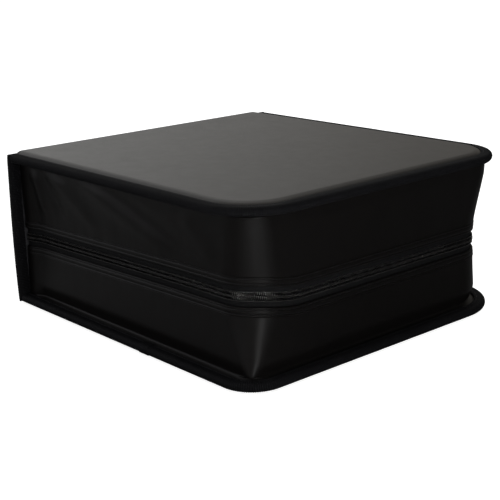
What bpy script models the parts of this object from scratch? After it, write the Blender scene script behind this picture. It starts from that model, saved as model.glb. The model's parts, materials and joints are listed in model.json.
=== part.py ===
"""CD storage case, closed: a zipped book-style case with a front cover, a spine, a back cover, and a zipped gusset round three sides. Metres, +Z up, +X from the spine to the fore edge, lying on its back cover."""

import math

import bmesh
import bpy

MM = 0.001

# Whole case, measured over the bound rims
LENGTH = 325 * MM
WIDTH = 305 * MM
HEIGHT = 140 * MM

# Layers of a cover
SKIN = 1.0 * MM
BOARD = 3.3 * MM
LINING = 0.6 * MM
GUSSET = 1.0 * MM
GAP = 0.3 * MM

# Bound rim
TAPE = 0.8 * MM
RIM_FILL = 0.9 * MM
TAPE_WIDTH = 9.5 * MM
SEAM_INSET = 3.0 * MM
ROLL_END = 16.5 * MM
TOP_CORNER = 48 * MM
BOTTOM_CORNER = 40 * MM
LAP_X, LAP_LENGTH, LAP_RISE = 25 * MM, 12 * MM, 0.7 * MM

# Gusset and its waist
WALL_INSET = 11.6 * MM
WAIST_INSET = 16.0 * MM
WAIST_CORNER = 30 * MM
HEM = 7 * MM
HEM_RISE = 0.3 * MM

# Zip
ZIP_Z_SPINE, ZIP_Z_NEAR, ZIP_Z_FAR = 61.5 * MM, 68 * MM, 62.5 * MM
ZIP_LEVEL_FROM = 0.1
HALF_OPENING = 8 * MM
COIL_INSET = WAIST_INSET + 0.9 * MM
COIL_HALF_DEPTH, COIL_HALF_HEIGHT = 1.3 * MM, 1.5 * MM
COIL_Z = 1.7 * MM
ZIP_TAPE_INSET = WAIST_INSET + 1.5 * MM
ZIP_TAPE = 0.6 * MM
ZIP_TAPE_EDGE, ZIP_TAPE_BACK = 3.5 * MM, 14.5 * MM
SPLAY = 1.2 * MM
CHAIN_END_LENGTH = 24 * MM
CHAIN_FIN = 5.9 * MM

# Slider and pull
SLIDER_START = 5.2 * MM
SLIDER_PLATE = 1.1 * MM
PULL_LENGTH, PULL_HALF = 29 * MM, 4.0 * MM

# Pages and their binder
PAGES_SPINE_GAP, PAGES_FORE_GAP, PAGES_SIDE_GAP, PAGES_TOP_GAP = 6.7 * MM, 45.5 * MM, 25.5 * MM, 14 * MM
PAGES_CORNER = 15 * MM
STRIP_WIDTH, STRIP_THICK, CLAMP_THICK = 18 * MM, 2 * MM, 3 * MM
STRIP_MARGIN = 5 * MM
POST_PITCH = 95 * MM
POST_R, POST_HEAD_R, POST_HEAD = 2.5 * MM, 5.5 * MM, 1.8 * MM

# Places that follow from the sizes above
FOLD_DEPTH = SKIN + GAP + BOARD + GAP + LINING / 2
CAVITY_HALF = LINING / 2 + GAP + max(SKIN, GUSSET) + GAP + RIM_FILL
RIM_HALF = CAVITY_HALF + TAPE
X_BACK, X_FRONT = -LENGTH / 2, LENGTH / 2
HALF_W = WIDTH / 2
X_FOLD = X_BACK + FOLD_DEPTH
Z_LOW, Z_TOP = FOLD_DEPTH, HEIGHT - FOLD_DEPTH
FOLD_CLEAR = 0.35 * MM
WALL_START = X_FOLD + RIM_HALF + GAP
EDGE_DEPTH = FOLD_DEPTH - CAVITY_HALF + GAP
FLANGE_DEPTH = FOLD_DEPTH + LINING / 2 + GAP + GUSSET / 2
FLANGE_START = SEAM_INSET + 0.2 * MM
CHAIN_END_REACH = math.hypot(CHAIN_END_LENGTH, ZIP_Z_FAR + CHAIN_FIN - Z_LOW)
PAGES_X = (X_FOLD + PAGES_SPINE_GAP, X_FRONT - PAGES_FORE_GAP)
PAGES_HALF_WIDTH = HALF_W - PAGES_SIDE_GAP
PAGES_TOP = HEIGHT - PAGES_TOP_GAP
STRIP_X = (PAGES_X[0] + 1.5 * MM, PAGES_X[0] + 1.5 * MM + STRIP_WIDTH)
STRIP_HALF_LENGTH = PAGES_HALF_WIDTH - STRIP_MARGIN
STRIP_Z = FOLD_DEPTH + LINING / 2 + GAP
POST_X, POSTS_Y = (STRIP_X[0] + STRIP_X[1]) / 2, (-POST_PITCH, 0.0, POST_PITCH)
SLIDER_FACE = HALF_W - (COIL_INSET - COIL_HALF_DEPTH - GAP - 0.1 * MM)
SLIDER_BACK = HALF_W - (COIL_INSET + COIL_HALF_DEPTH + GAP + 0.1 * MM)
SLIDER_X = X_FOLD + SLIDER_START
LOWER, UPPER = -1, 1


def smooth(t):
    t = min(max(t, 0.0), 1.0)
    return t * t * (3 - 2 * t)


def new_object(name, vertices, faces):
    """Makes an object of these points and faces, with its faces turned outwards."""
    mesh = bpy.data.meshes.new(name)
    mesh.from_pydata(vertices, [], faces)
    shape = bmesh.new()
    shape.from_mesh(mesh)
    bmesh.ops.remove_doubles(shape, verts=shape.verts, dist=1e-7)
    bmesh.ops.recalc_face_normals(shape, faces=shape.faces)
    if shape.calc_volume(signed=True) < 0:
        bmesh.ops.reverse_faces(shape, faces=shape.faces)
    shape.to_mesh(mesh)
    shape.free()
    obj = bpy.data.objects.new(name, mesh)
    bpy.context.scene.collection.objects.link(obj)
    return obj


def sheet_solid(name, outer, inner):
    """A closed sheet between two grids of points of the same size."""
    rows, columns = len(outer), len(outer[0])
    vertices = [p for grid in (outer, inner) for row in grid for p in row]
    back = rows * columns

    def at(side, i, j):
        return side * back + i * columns + j

    faces = []
    for i in range(rows - 1):
        for j in range(columns - 1):
            faces.append((at(0, i, j), at(0, i + 1, j), at(0, i + 1, j + 1), at(0, i, j + 1)))
            faces.append((at(1, i, j), at(1, i, j + 1), at(1, i + 1, j + 1), at(1, i + 1, j)))
    edge = [(i, 0) for i in range(rows)]
    edge += [(rows - 1, j) for j in range(1, columns)]
    edge += [(i, columns - 1) for i in range(rows - 2, -1, -1)]
    edge += [(0, j) for j in range(columns - 2, 0, -1)]
    for (i, j), (k, m) in zip(edge, edge[1:] + edge[:1]):
        faces.append((at(0, i, j), at(1, i, j), at(1, k, m), at(0, k, m)))
    return new_object(name, vertices, faces)


def pan_solid(name, outer, inner):
    """A closed panel: rings from the rim inwards on each side, the last one filled flat."""
    rings, count = len(outer), len(outer[0])
    vertices = [p for grid in (outer, inner) for ring in grid for p in ring]
    back = rings * count

    def at(side, ring, i):
        return side * back + ring * count + i

    faces = []
    for side in (0, 1):
        for ring in range(rings - 1):
            for i in range(count - 1):
                faces.append((at(side, ring, i), at(side, ring, i + 1), at(side, ring + 1, i + 1), at(side, ring + 1, i)))
        faces.append(tuple(at(side, rings - 1, i) for i in range(count)))
    edge = [(0, i) for i in range(count)]
    edge += [(ring, count - 1) for ring in range(1, rings)]
    edge += [(ring, 0) for ring in range(rings - 1, 0, -1)]
    for (a, i), (b, j) in zip(edge, edge[1:] + edge[:1]):
        faces.append((at(0, a, i), at(0, b, j), at(1, b, j), at(1, a, i)))
    return new_object(name, vertices, faces)


def tube(name, rings):
    """A closed solid through rings of points, with a flat cap on each end."""
    count = len(rings[0])
    vertices = [p for ring in rings for p in ring]
    faces = [tuple(range(count)), tuple((len(rings) - 1) * count + i for i in range(count))]
    for k in range(len(rings) - 1):
        for i in range(count):
            j = (i + 1) % count
            faces.append((k * count + i, k * count + j, (k + 1) * count + j, (k + 1) * count + i))
    return new_object(name, vertices, faces)


def prism(name, outline, low, high, place):
    """A flat outline given thickness: place turns (u, v, depth) into a point."""
    return tube(name, [[place(u, v, low) for u, v in outline], [place(u, v, high) for u, v in outline]])


def upright(u, v, depth):
    return (u, v, depth)


def box(name, low, high):
    outline = [(low[0], low[1]), (high[0], low[1]), (high[0], high[1]), (low[0], high[1])]
    return prism(name, outline, low[2], high[2], upright)


def disc(name, x, y, radius, low, high, sides=20):
    outline = [(x + radius * math.cos(math.tau * i / sides), y + radius * math.sin(math.tau * i / sides)) for i in range(sides)]
    return prism(name, outline, low, high, upright)


def combine(obj, others, operation):
    """Applies Booleans to obj and removes the objects used up."""
    for other in others:
        modifier = obj.modifiers.new(operation.title(), "BOOLEAN")
        modifier.operation = operation
        modifier.solver = "EXACT"
        modifier.object = other
    bpy.context.view_layer.update()
    mesh = bpy.data.meshes.new_from_object(obj.evaluated_get(bpy.context.evaluated_depsgraph_get()))
    obj.modifiers.clear()
    old, obj.data = obj.data, mesh
    name = old.name
    bpy.data.meshes.remove(old)
    mesh.name = name
    for other in others:
        bpy.data.objects.remove(other)
    return obj


# Path round the three open sides

def stations(side_a, corner, side_b, side_c):
    """Places along the U from the spine on side A round to the spine on side C, as (stretch, fraction)."""
    found = []
    for stretch, count in enumerate((side_a, corner, side_b, corner, side_c)):
        found += [(stretch, i / count) for i in range(count)]
    return found + [(4, 1.0)]


def u_point(station, inset, radius, start, z):
    """The point of the U at this inset from the rim, with this corner radius."""
    stretch, f = station
    cx, cy = X_FRONT - inset - radius, HALF_W - inset - radius
    if stretch == 0:
        return (start + (cx - start) * f, -(HALF_W - inset), z)
    if stretch == 1:
        turn = -math.pi / 2 * (1 - f)
        return (cx + radius * math.cos(turn), -cy + radius * math.sin(turn), z)
    if stretch == 2:
        return (X_FRONT - inset, -cy + 2 * cy * f, z)
    if stretch == 3:
        turn = math.pi / 2 * f
        return (cx + radius * math.cos(turn), cy + radius * math.sin(turn), z)
    return (cx + (start - cx) * f, HALF_W - inset, z)


def zip_height(station):
    """The zip climbs along side A and comes down again round the near corner."""
    stretch, f = station
    if stretch == 0:
        return ZIP_Z_SPINE + (ZIP_Z_NEAR - ZIP_Z_SPINE) * (0.6 * f + 0.4 * smooth(f))
    if stretch > 2:
        return ZIP_Z_FAR
    fallen = smooth(f - 0.5) if stretch == 1 else smooth(0.5 + 0.5 * f / ZIP_LEVEL_FROM)
    return ZIP_Z_NEAR + (ZIP_Z_FAR - ZIP_Z_NEAR) * fallen


# Covers

ROLL = ROLL_END - TAPE_WIDTH
OUTER_ROLL = [(SEAM_INSET, EDGE_DEPTH), (TAPE_WIDTH + 0.05 * ROLL, EDGE_DEPTH), (TAPE_WIDTH + 0.25 * ROLL, 0.89 * EDGE_DEPTH), (TAPE_WIDTH + 0.46 * ROLL, 0.48 * EDGE_DEPTH), (TAPE_WIDTH + 0.71 * ROLL, 0.13 * EDGE_DEPTH), (ROLL_END, 0.0)]
INNER_ROLL = [(SEAM_INSET, EDGE_DEPTH + SKIN), (TAPE_WIDTH + 0.08 * ROLL, EDGE_DEPTH + SKIN), (TAPE_WIDTH + 0.35 * ROLL, 0.85 * EDGE_DEPTH + SKIN), (TAPE_WIDTH + 0.56 * ROLL, 0.48 * EDGE_DEPTH + SKIN), (TAPE_WIDTH + 0.76 * ROLL, 0.15 * EDGE_DEPTH + SKIN), (ROLL_END, SKIN)]
COVER_STATIONS = stations(2, 8, 2, 2)


def fold_edge(radius, rise):
    """Where a cover part stops beside the rounded end of the spine; rise is counted outwards from the fold line."""
    rise = max(rise, 0.0)
    return X_FOLD + math.sqrt(max(radius * radius - rise * rise, 0.0))


def cover_skin(name, side, corner):
    rolls = []
    for roll in (OUTER_ROLL, INNER_ROLL):
        rings = []
        for (inset, depth), (_, outer_depth) in zip(roll, OUTER_ROLL):
            clear = max(FOLD_DEPTH - outer_depth, RIM_HALF) + FOLD_CLEAR
            start = fold_edge(clear, FOLD_DEPTH - depth)
            z = HEIGHT - depth if side == UPPER else depth
            rings.append([u_point(s, inset, corner - inset, start, z) for s in COVER_STATIONS])
        rolls.append(rings)
    return pan_solid(name, *rolls)


def cover_sheet(name, side, corner, inset, near, far):
    """A flat layer of a cover between two depths."""
    outline = [u_point(s, inset, max(corner - inset, 1 * MM), X_FOLD + FOLD_DEPTH + 0.6 * MM, 0)[:2] for s in COVER_STATIONS]
    low, high = (HEIGHT - far, HEIGHT - near) if side == UPPER else (near, far)
    return prism(name, outline, low, high, upright)


def tape_profile():
    """Outer and inner lines of the folded tape as (inset, rise)."""
    outer, inner = [(TAPE_WIDTH, RIM_HALF)], [(TAPE_WIDTH, CAVITY_HALF)]
    reach = 3.6 * MM
    for i in range(7):
        turn = math.pi / 2 - math.pi * i / 6
        outer.append((reach - reach * math.cos(turn), RIM_HALF * math.sin(turn)))
        inner.append((reach - (reach - TAPE) * math.cos(turn), CAVITY_HALF * math.sin(turn)))
    return outer + [(TAPE_WIDTH, -RIM_HALF)], inner + [(TAPE_WIDTH, -CAVITY_HALF)]


def cover_binding(name, side, corner, lapped):
    path = [(s, 0.0) for s in COVER_STATIONS]
    if lapped:
        run = X_FRONT - corner - X_FOLD
        lap = [(LAP_X - 0.5 * MM, 0.0), (LAP_X, 1.0), (LAP_X + LAP_LENGTH, 1.0), (LAP_X + LAP_LENGTH + 0.5 * MM, 0.0)]
        path += [((0, (x - X_FOLD) / run), rise) for x, rise in lap]
        path.sort()
    grids = []
    z = Z_TOP if side == UPPER else Z_LOW
    for is_inner, line in enumerate(tape_profile()):
        grid = []
        for station, rise in path:
            swell = 0.0 if is_inner else rise * LAP_RISE
            row = []
            for inset, up in line:
                lift = swell * up / RIM_HALF
                row.append(u_point(station, inset, corner - inset, fold_edge(RIM_HALF + FOLD_CLEAR, side * up), z + up + lift))
            grid.append(row)
        grids.append(grid)
    return sheet_solid(name, *grids)


# Spine

def spine_skin():
    turns = [45 + 22.5 * i for i in range(7)]
    grids = []
    for roll in (OUTER_ROLL, INNER_ROLL):
        across = [(-(HALF_W - inset), depth) for inset, depth in roll]
        across += [(-y, depth) for y, depth in reversed(across)]
        grid = []
        for y, depth in across:
            r = FOLD_DEPTH - depth
            row = [(X_FOLD + r * math.cos(math.radians(a)), y, Z_TOP + r * math.sin(math.radians(a))) for a in turns]
            row += [(X_FOLD + r * math.cos(math.radians(a)), y, Z_LOW - r * math.sin(math.radians(a))) for a in reversed(turns)]
            grid.append(row)
        grids.append(grid)
    return sheet_solid("spine_skin", *grids)


def spine_binding(name, side):
    """The tape on one end of the spine, rounded where it meets the covers' tapes."""
    turns = [math.radians(a) for a in (68, 51, 31, 0)]
    ends = [(RIM_HALF * math.sin(a), math.cos(a)) for a in turns]
    levels = [(Z_TOP + up, width) for up, width in ends] + [(Z_LOW - up, width) for up, width in reversed(ends)]
    grids = []
    for line in tape_profile():
        grids.append([[(X_FOLD - up * width, side * (HALF_W - inset), z) for inset, up in line] for z, width in levels])
    return sheet_solid(name, *grids)


# Gusset

def wall_line(side, zip_z):
    """Middle line of the gusset as (inset, z, half thickness, corner swell), from its seam to its hem."""
    edge = HEIGHT if side == UPPER else 0.0
    hem_z = zip_z + side * HALF_OPENING

    def at(depth):
        return edge - side * depth

    thin, thick = GUSSET / 2, GUSSET / 2 + HEM_RISE
    line = [(FLANGE_START, at(FLANGE_DEPTH), thin, 0.0), (TAPE_WIDTH - GUSSET / 2, at(FLANGE_DEPTH), thin, 0.0), (TAPE_WIDTH + GUSSET, at(FLANGE_DEPTH + GUSSET / 2), thin, 0.0), (WALL_INSET - 0.3 * GUSSET, at(FLANGE_DEPTH + 1.8 * GUSSET), thin, 0.02)]
    depth = abs(edge - hem_z)
    bend = FLANGE_DEPTH + 4.6 * GUSSET
    for f in (0.0, 0.14, 0.3, 0.47, 0.64, 0.8):
        d = bend + (depth - HEM - 0.6 * MM - bend) * f
        part = smooth(d / depth) * 0.6 + 0.4 * d / depth
        line.append((WALL_INSET + (WAIST_INSET - WALL_INSET) * part, at(d), thin, part))
    line.append((WAIST_INSET - 0.15 * MM, hem_z + side * (HEM + 0.6 * MM), thin, 0.97))
    line.append((WAIST_INSET - 0.1 * MM, hem_z + side * HEM, thick, 0.98))
    line.append((WAIST_INSET, hem_z + side * 0.6 * MM, thick, 1.0))
    line.append((WAIST_INSET, hem_z, 0.9 * thin, 1.0))
    return line


# Slack folds of the upper gusset by the spine: foot and head as (x, z) from the spine's top, then rise and width
FOLDS = [
    ((22, -12), (34, -58), 1.5, 6.0),
    ((30, -10), (62, -52), -1.3, 7.0),
    ((44, -9), (108, -50), 1.4, 8.0),
    ((100, -14), (205, -50), 1.9, 9.0),
    ((128, -10), (232, -44), -1.3, 9.0),
    ((236, -20), (262, -46), 0.9, 9.0),
]


def slack(station, x, z):
    """How far the upper gusset stands out here, none at its seam and little at its hem."""
    if station[0] not in (0, 4):
        return 0.0
    u, v = (x - X_FOLD) / MM, (z - HEIGHT) / MM
    total = 0.0
    for (x0, z0), (x1, z1), rise, width in FOLDS:
        dx, dz = x1 - x0, z1 - z0
        t = ((u - x0) * dx + (v - z0) * dz) / (dx * dx + dz * dz)
        away = math.hypot(u - x0 - dx * t, v - z0 - dz * t)
        along = smooth((t + 0.25) / 0.45) * smooth((1.25 - t) / 0.45)
        total += rise * math.exp(-((away / width) ** 2)) * along
    seam = smooth((-v - 8) / 14) * (1 - 0.75 * smooth((-v - 44) / 14))
    return total * MM * seam * (0.6 if station[0] == 4 else 1.0)


def gusset(name, side, corner, path):
    grids = ([], [])
    for station in path:
        line = wall_line(side, zip_height(station))
        rows = ([], [])
        for k, (inset, z, half, swell) in enumerate(line):
            before, after = line[max(k - 1, 0)], line[min(k + 1, len(line) - 1)]
            de, dz = after[0] - before[0], after[1] - before[1]
            size = math.hypot(de, dz)
            ne, nz = side * dz / size, -side * de / size
            bend = swell * (WAIST_CORNER - (corner - WAIST_INSET))
            radius = corner - inset + bend
            middle = u_point(station, inset, radius, WALL_START, z)
            stand = slack(station, middle[0], z) if side == UPPER else 0.0
            for face, sign in enumerate((1, -1)):
                e = inset + ne * (sign * half + stand)
                up = z + nz * sign * half
                rows[face].append(u_point(station, e, radius - (e - inset), WALL_START, up))
        grids[0].append(rows[0])
        grids[1].append(rows[1])
    return sheet_solid(name, *grids)


# Zip

ZIP_PATH = sorted(stations(5, 9, 6, 3) + [(2, ZIP_LEVEL_FROM)])


def arc_x(reach, z):
    """A place on the circle about the lower fold that lets the front cover's chain swing clear of the chain end."""
    return X_FOLD + math.sqrt(reach * reach - (z - Z_LOW) ** 2)


def zip_point(station, inset, z, start):
    return u_point(station, inset, WAIST_CORNER + WAIST_INSET - inset, start, z)


def far_run(xs):
    """Stations on side C: two along the open run, then these places counted from the fold line."""
    run_from = X_FRONT - WAIST_INSET - WAIST_CORNER
    run_to = WALL_START
    return [(4, 0.04), (4, 0.5)] + [(4, (X_FOLD + x - run_from) / (run_to - run_from)) for x in xs]


def coil_ring(middle, side):
    """Cross-section of one half of the chain, as (inset, z)."""
    ring = []
    for i in range(8):
        turn = math.tau * (i + 0.5) / 8
        ring.append((COIL_INSET + 1.08 * COIL_HALF_DEPTH * math.cos(turn), middle + side * 1.08 * COIL_HALF_HEIGHT * math.sin(turn)))
    return ring


def splay_at(x):
    """How far the slider's wedge holds each half of the chain from the middle."""
    return SPLAY * (1 - smooth((x - X_FOLD - 8 * MM) / (6 * MM)))


def coil_lower():
    path = [s for s in ZIP_PATH if s[0] < 4] + far_run([14 * MM, 12.5 * MM, 11 * MM, 9.5 * MM, 8 * MM, WALL_START - X_FOLD])
    rings = []
    for s in path:
        x = zip_point(s, COIL_INSET, 0, WALL_START)[0]
        apart = splay_at(x) if s[0] == 4 else 0.0
        rings.append([zip_point(s, e, z, WALL_START) for e, z in coil_ring(zip_height(s) - COIL_Z - apart, LOWER)])
    return tube("zip_coil_lower", rings)


def coil_upper():
    path = [s for s in ZIP_PATH if s[0] < 4] + far_run([])
    rings = [[zip_point(s, e, z, WALL_START) for e, z in coil_ring(zip_height(s) + COIL_Z, UPPER)] for s in path]
    rings.append([(arc_x(CHAIN_END_REACH + FOLD_CLEAR, z), HALF_W - e, z) for e, z in coil_ring(ZIP_Z_FAR + COIL_Z, UPPER)])
    return tube("zip_coil_upper", rings)


def chain_end():
    """The closed end of the upper chain, which the slider holds."""
    fin = ZIP_TAPE_INSET - ZIP_TAPE / 2, ZIP_TAPE_INSET + ZIP_TAPE / 2
    top = ZIP_Z_FAR + CHAIN_FIN
    rings = []
    for x in (WALL_START - X_FOLD, 8 * MM, 9.5 * MM, 11 * MM, 12.5 * MM, 14 * MM, None):
        apart = splay_at(X_FOLD + x) if x else 0.0
        ring = coil_ring(ZIP_Z_FAR + COIL_Z + apart, UPPER)
        shoulder = max(z for _, z in ring)
        ring = [(fin[1], top), (fin[1], shoulder + 0.05 * MM)] + [ring[i] for i in (0, 7, 6, 5, 4, 3)] + [(fin[0], shoulder + 0.05 * MM), (fin[0], top)]
        rings.append([(X_FOLD + x if x else arc_x(CHAIN_END_REACH, z), HALF_W - e, z) for e, z in ring])
    return tube("zip_chain_end", rings)


def zip_tape(name, side):
    """The woven tape behind the hem; by the slider it steps back from the chain."""
    step = CHAIN_FIN + GAP if side == UPPER else ZIP_TAPE_EDGE + SPLAY + 0.1 * MM
    if side == UPPER:
        near = arc_x(CHAIN_END_REACH + FOLD_CLEAR, ZIP_Z_FAR + ZIP_TAPE_EDGE) - X_FOLD
        close = arc_x(CHAIN_END_REACH + FOLD_CLEAR, ZIP_Z_FAR + step) - X_FOLD
    else:
        near, close = 15 * MM, 8.5 * MM
    path = [(s, ZIP_TAPE_EDGE) for s in ZIP_PATH if s[0] < 4]
    path += zip(far_run([near + 0.4 * MM, close, WALL_START - X_FOLD]), (ZIP_TAPE_EDGE, ZIP_TAPE_EDGE, ZIP_TAPE_EDGE, step, step))
    grids = []
    for sign in (-1, 1):
        e = ZIP_TAPE_INSET + sign * ZIP_TAPE / 2
        grids.append([[zip_point(s, e, zip_height(s) + side * z, WALL_START) for z in (edge, ZIP_TAPE_BACK)] for s, edge in path])
    return sheet_solid(name, *grids)


def slider():
    """The slider on side C, its wedge end towards the spine."""
    face, back = SLIDER_FACE, SLIDER_BACK

    def place(u, v, depth):
        return (SLIDER_X + u, depth, ZIP_Z_FAR + v)

    half = [(0.0, 4.6), (1.6, 5.9), (7.0, 5.9), (10.5, 5.2), (12.0, 4.2)]
    outline = [(u * MM, v * MM) for u, v in half] + [(u * MM, -v * MM) for u, v in reversed(half)]
    body = prism("zip_slider", outline, face, face + SLIDER_PLATE, place)
    others = [prism("inner_plate", outline, back - 1.0 * MM, back, place)]
    for sign in (1, -1):
        flange = [(1.0, 4.9), (1.6, 5.9), (7.0, 5.9), (10.5, 5.2), (11.6, 4.5), (10.6, 4.1), (7.2, 4.9)]
        others.append(prism("flange", [(u * MM, sign * v * MM) for u, v in flange], face - 1.6 * MM, face + 0.5 * MM, place))
    wedge = [(0.4, 0.0), (1.0, 0.9), (3.0, 0.9), (6.0, 0.1), (6.0, -0.1), (3.0, -0.9), (1.0, -0.9)]
    others.append(prism("wedge", [(u * MM, v * MM) for u, v in wedge], back - 0.5 * MM, face + 0.5 * MM, place))
    rise = face + SLIDER_PLATE
    arch = [(1.6, -0.4), (1.6, 2.4), (2.6, 3.9), (9.6, 3.9), (10.6, 2.4), (10.6, -0.4), (9.2, -0.4), (9.2, 2.7), (3.0, 2.7), (3.0, -0.4)]

    def place_arch(u, v, depth):
        return (SLIDER_X + u, rise + v, ZIP_Z_FAR + depth)

    others.append(prism("arch", [(u * MM, v * MM) for u, v in arch], -1.0 * MM, 1.0 * MM, place_arch))
    return combine(body, others, "UNION")


def pull():
    """The flat pull through the slider's arch, lying back along the zip."""
    axis_x, axis_y = SLIDER_X + 6.1 * MM, SLIDER_FACE + SLIDER_PLATE + 1.35 * MM
    half, thick = PULL_HALF, 0.7 * MM

    def place(u, v, depth):
        return (axis_x + u, axis_y + depth, ZIP_Z_FAR + v)

    outline = [(-0.8 * MM, -half + 1 * MM), (0.4 * MM, -half)]
    outline += [(PULL_LENGTH - 4 * MM + 4 * MM * math.sin(a), -half * math.cos(a)) for a in [math.pi * i / 8 for i in range(9)]]
    outline += [(0.4 * MM, half), (-0.8 * MM, half - 1 * MM)]
    tab = prism("zip_pull", outline, -thick, thick, place)
    window = box("window", (axis_x + 0.8 * MM, axis_y - 3 * MM, ZIP_Z_FAR - 2 * MM), (axis_x + 7.0 * MM, axis_y + 3 * MM, ZIP_Z_FAR + 2 * MM))
    return combine(tab, [window], "DIFFERENCE")


# Pages and binder

def pages():
    x0, x1 = PAGES_X
    outline = [(x0, PAGES_HALF_WIDTH), (x0, -PAGES_HALF_WIDTH)]
    for cy, first in ((-1, -90), (1, 0)):
        for i in range(6):
            a = math.radians(first + 18 * i)
            outline.append((x1 - PAGES_CORNER + PAGES_CORNER * math.cos(a), cy * (PAGES_HALF_WIDTH - PAGES_CORNER) + PAGES_CORNER * math.sin(a)))
    base_top = STRIP_Z + STRIP_THICK
    block = prism("page_block", outline, base_top + GAP, PAGES_TOP, upright)
    cutters = [disc("hole", POST_X, y, POST_R + GAP, 0, HEIGHT) for y in POSTS_Y]
    combine(block, cutters, "DIFFERENCE")
    box("binder_base_strip", (STRIP_X[0], -STRIP_HALF_LENGTH, STRIP_Z), (STRIP_X[1], STRIP_HALF_LENGTH, base_top))
    clamp = box("binder_clamp_strip", (STRIP_X[0], -STRIP_HALF_LENGTH, PAGES_TOP + GAP), (STRIP_X[1], STRIP_HALF_LENGTH, PAGES_TOP + GAP + CLAMP_THICK))
    combine(clamp, [disc("hole", POST_X, y, POST_R + GAP, 0, HEIGHT) for y in POSTS_Y], "DIFFERENCE")
    head = PAGES_TOP + 2 * GAP + CLAMP_THICK
    for number, y in enumerate(POSTS_Y, 1):
        post = disc(f"binder_post_{number}", POST_X, y, POST_R, base_top + GAP, head + 0.5 * MM)
        combine(post, [disc("head", POST_X, y, POST_HEAD_R, head, head + POST_HEAD)], "UNION")


def main():
    for obj in list(bpy.data.objects):
        bpy.data.objects.remove(obj)

    cover_skin("front_cover_skin", UPPER, TOP_CORNER)
    cover_sheet("front_cover_board", UPPER, TOP_CORNER, ROLL_END, SKIN + GAP, SKIN + GAP + BOARD)
    cover_sheet("front_cover_lining", UPPER, TOP_CORNER, SEAM_INSET, FOLD_DEPTH - LINING / 2, FOLD_DEPTH + LINING / 2)
    cover_binding("front_cover_binding", UPPER, TOP_CORNER, False)

    cover_skin("back_cover_skin", LOWER, BOTTOM_CORNER)
    cover_sheet("back_cover_board", LOWER, BOTTOM_CORNER, ROLL_END, SKIN + GAP, SKIN + GAP + BOARD)
    cover_sheet("back_cover_lining", LOWER, BOTTOM_CORNER, SEAM_INSET, FOLD_DEPTH - LINING / 2, FOLD_DEPTH + LINING / 2)
    cover_binding("back_cover_binding", LOWER, BOTTOM_CORNER, True)

    spine_skin()
    board_half, lining_half = HALF_W - ROLL_END, HALF_W - SEAM_INSET
    box("spine_board", (X_BACK + SKIN + GAP, -board_half, Z_LOW), (X_BACK + SKIN + GAP + BOARD, board_half, Z_TOP))
    box("spine_lining", (X_FOLD - LINING / 2, -lining_half, Z_LOW + 0.5 * MM), (X_FOLD + LINING / 2, lining_half, Z_TOP - 0.5 * MM))
    spine_binding("spine_binding_near", -1)
    spine_binding("spine_binding_far", 1)

    gusset("upper_gusset", UPPER, TOP_CORNER, sorted(stations(24, 8, 4, 12) + [(2, ZIP_LEVEL_FROM)]))
    gusset("lower_gusset", LOWER, BOTTOM_CORNER, sorted(stations(4, 8, 4, 2) + [(2, ZIP_LEVEL_FROM)]))
    zip_tape("zip_tape_upper", UPPER)
    zip_tape("zip_tape_lower", LOWER)
    coil_upper()
    coil_lower()
    chain_end()
    slider()
    pull()
    pages()


main()
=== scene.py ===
"""CD storage case, dressed: leather covers, a slack gusset, ribbed edge tape, a coil zip and sleeves."""

import json
import math
from functools import reduce

import bmesh
import bpy
import numpy as np
from bpy.props import FloatProperty, FloatVectorProperty, IntProperty, PointerProperty
from mathutils import Matrix, Vector, noise


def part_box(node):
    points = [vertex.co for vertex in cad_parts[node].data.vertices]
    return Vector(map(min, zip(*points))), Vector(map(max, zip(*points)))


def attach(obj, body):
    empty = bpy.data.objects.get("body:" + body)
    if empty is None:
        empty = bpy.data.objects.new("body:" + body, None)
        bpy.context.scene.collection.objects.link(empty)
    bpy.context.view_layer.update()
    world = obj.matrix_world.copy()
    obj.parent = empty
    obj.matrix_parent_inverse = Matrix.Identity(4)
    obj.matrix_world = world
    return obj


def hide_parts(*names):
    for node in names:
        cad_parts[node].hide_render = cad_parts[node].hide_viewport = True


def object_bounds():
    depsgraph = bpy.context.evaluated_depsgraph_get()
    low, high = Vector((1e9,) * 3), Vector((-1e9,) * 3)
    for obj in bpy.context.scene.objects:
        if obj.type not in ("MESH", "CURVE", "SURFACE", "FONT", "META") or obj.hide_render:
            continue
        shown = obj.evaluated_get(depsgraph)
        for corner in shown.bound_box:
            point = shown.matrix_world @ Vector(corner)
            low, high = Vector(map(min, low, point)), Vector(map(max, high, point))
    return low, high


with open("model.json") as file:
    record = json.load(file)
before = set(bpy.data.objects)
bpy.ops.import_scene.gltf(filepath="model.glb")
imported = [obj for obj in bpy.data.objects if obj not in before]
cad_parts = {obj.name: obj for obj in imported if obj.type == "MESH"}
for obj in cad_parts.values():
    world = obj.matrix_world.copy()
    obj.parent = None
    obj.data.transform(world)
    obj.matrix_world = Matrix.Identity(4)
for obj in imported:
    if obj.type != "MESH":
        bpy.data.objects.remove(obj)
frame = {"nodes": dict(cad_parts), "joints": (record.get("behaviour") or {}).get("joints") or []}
CAD_BOX = [[float(v) for v in corner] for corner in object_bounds()]

bl_info = {
    "name": "CD Storage Case",
    "version": (1, 0, 0),
    "blender": (4, 5, 0),
    "location": "3D View > Sidebar > Case",
    "description": "Dresses the zipped storage case: covers, gusset, edge tape, zip and sleeves",
    "category": "Object",
}

MM = 0.001
MERGE = 2e-7

# Sizes that the frame gives
FOLDS_AT = {joint["name"]: joint.get("pos_m") for joint in frame["joints"]}
X_FRONT, HALF_W, HEIGHT = CAD_BOX[1]
X_FOLD, Z_LOW = FOLDS_AT["spine_fold"][0], FOLDS_AT["spine_fold"][2]
Z_TOP = FOLDS_AT["cover_fold"][2]
FOLD_DEPTH = Z_LOW
RIM_HALF = FOLD_DEPTH - 1.6 * MM

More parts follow.
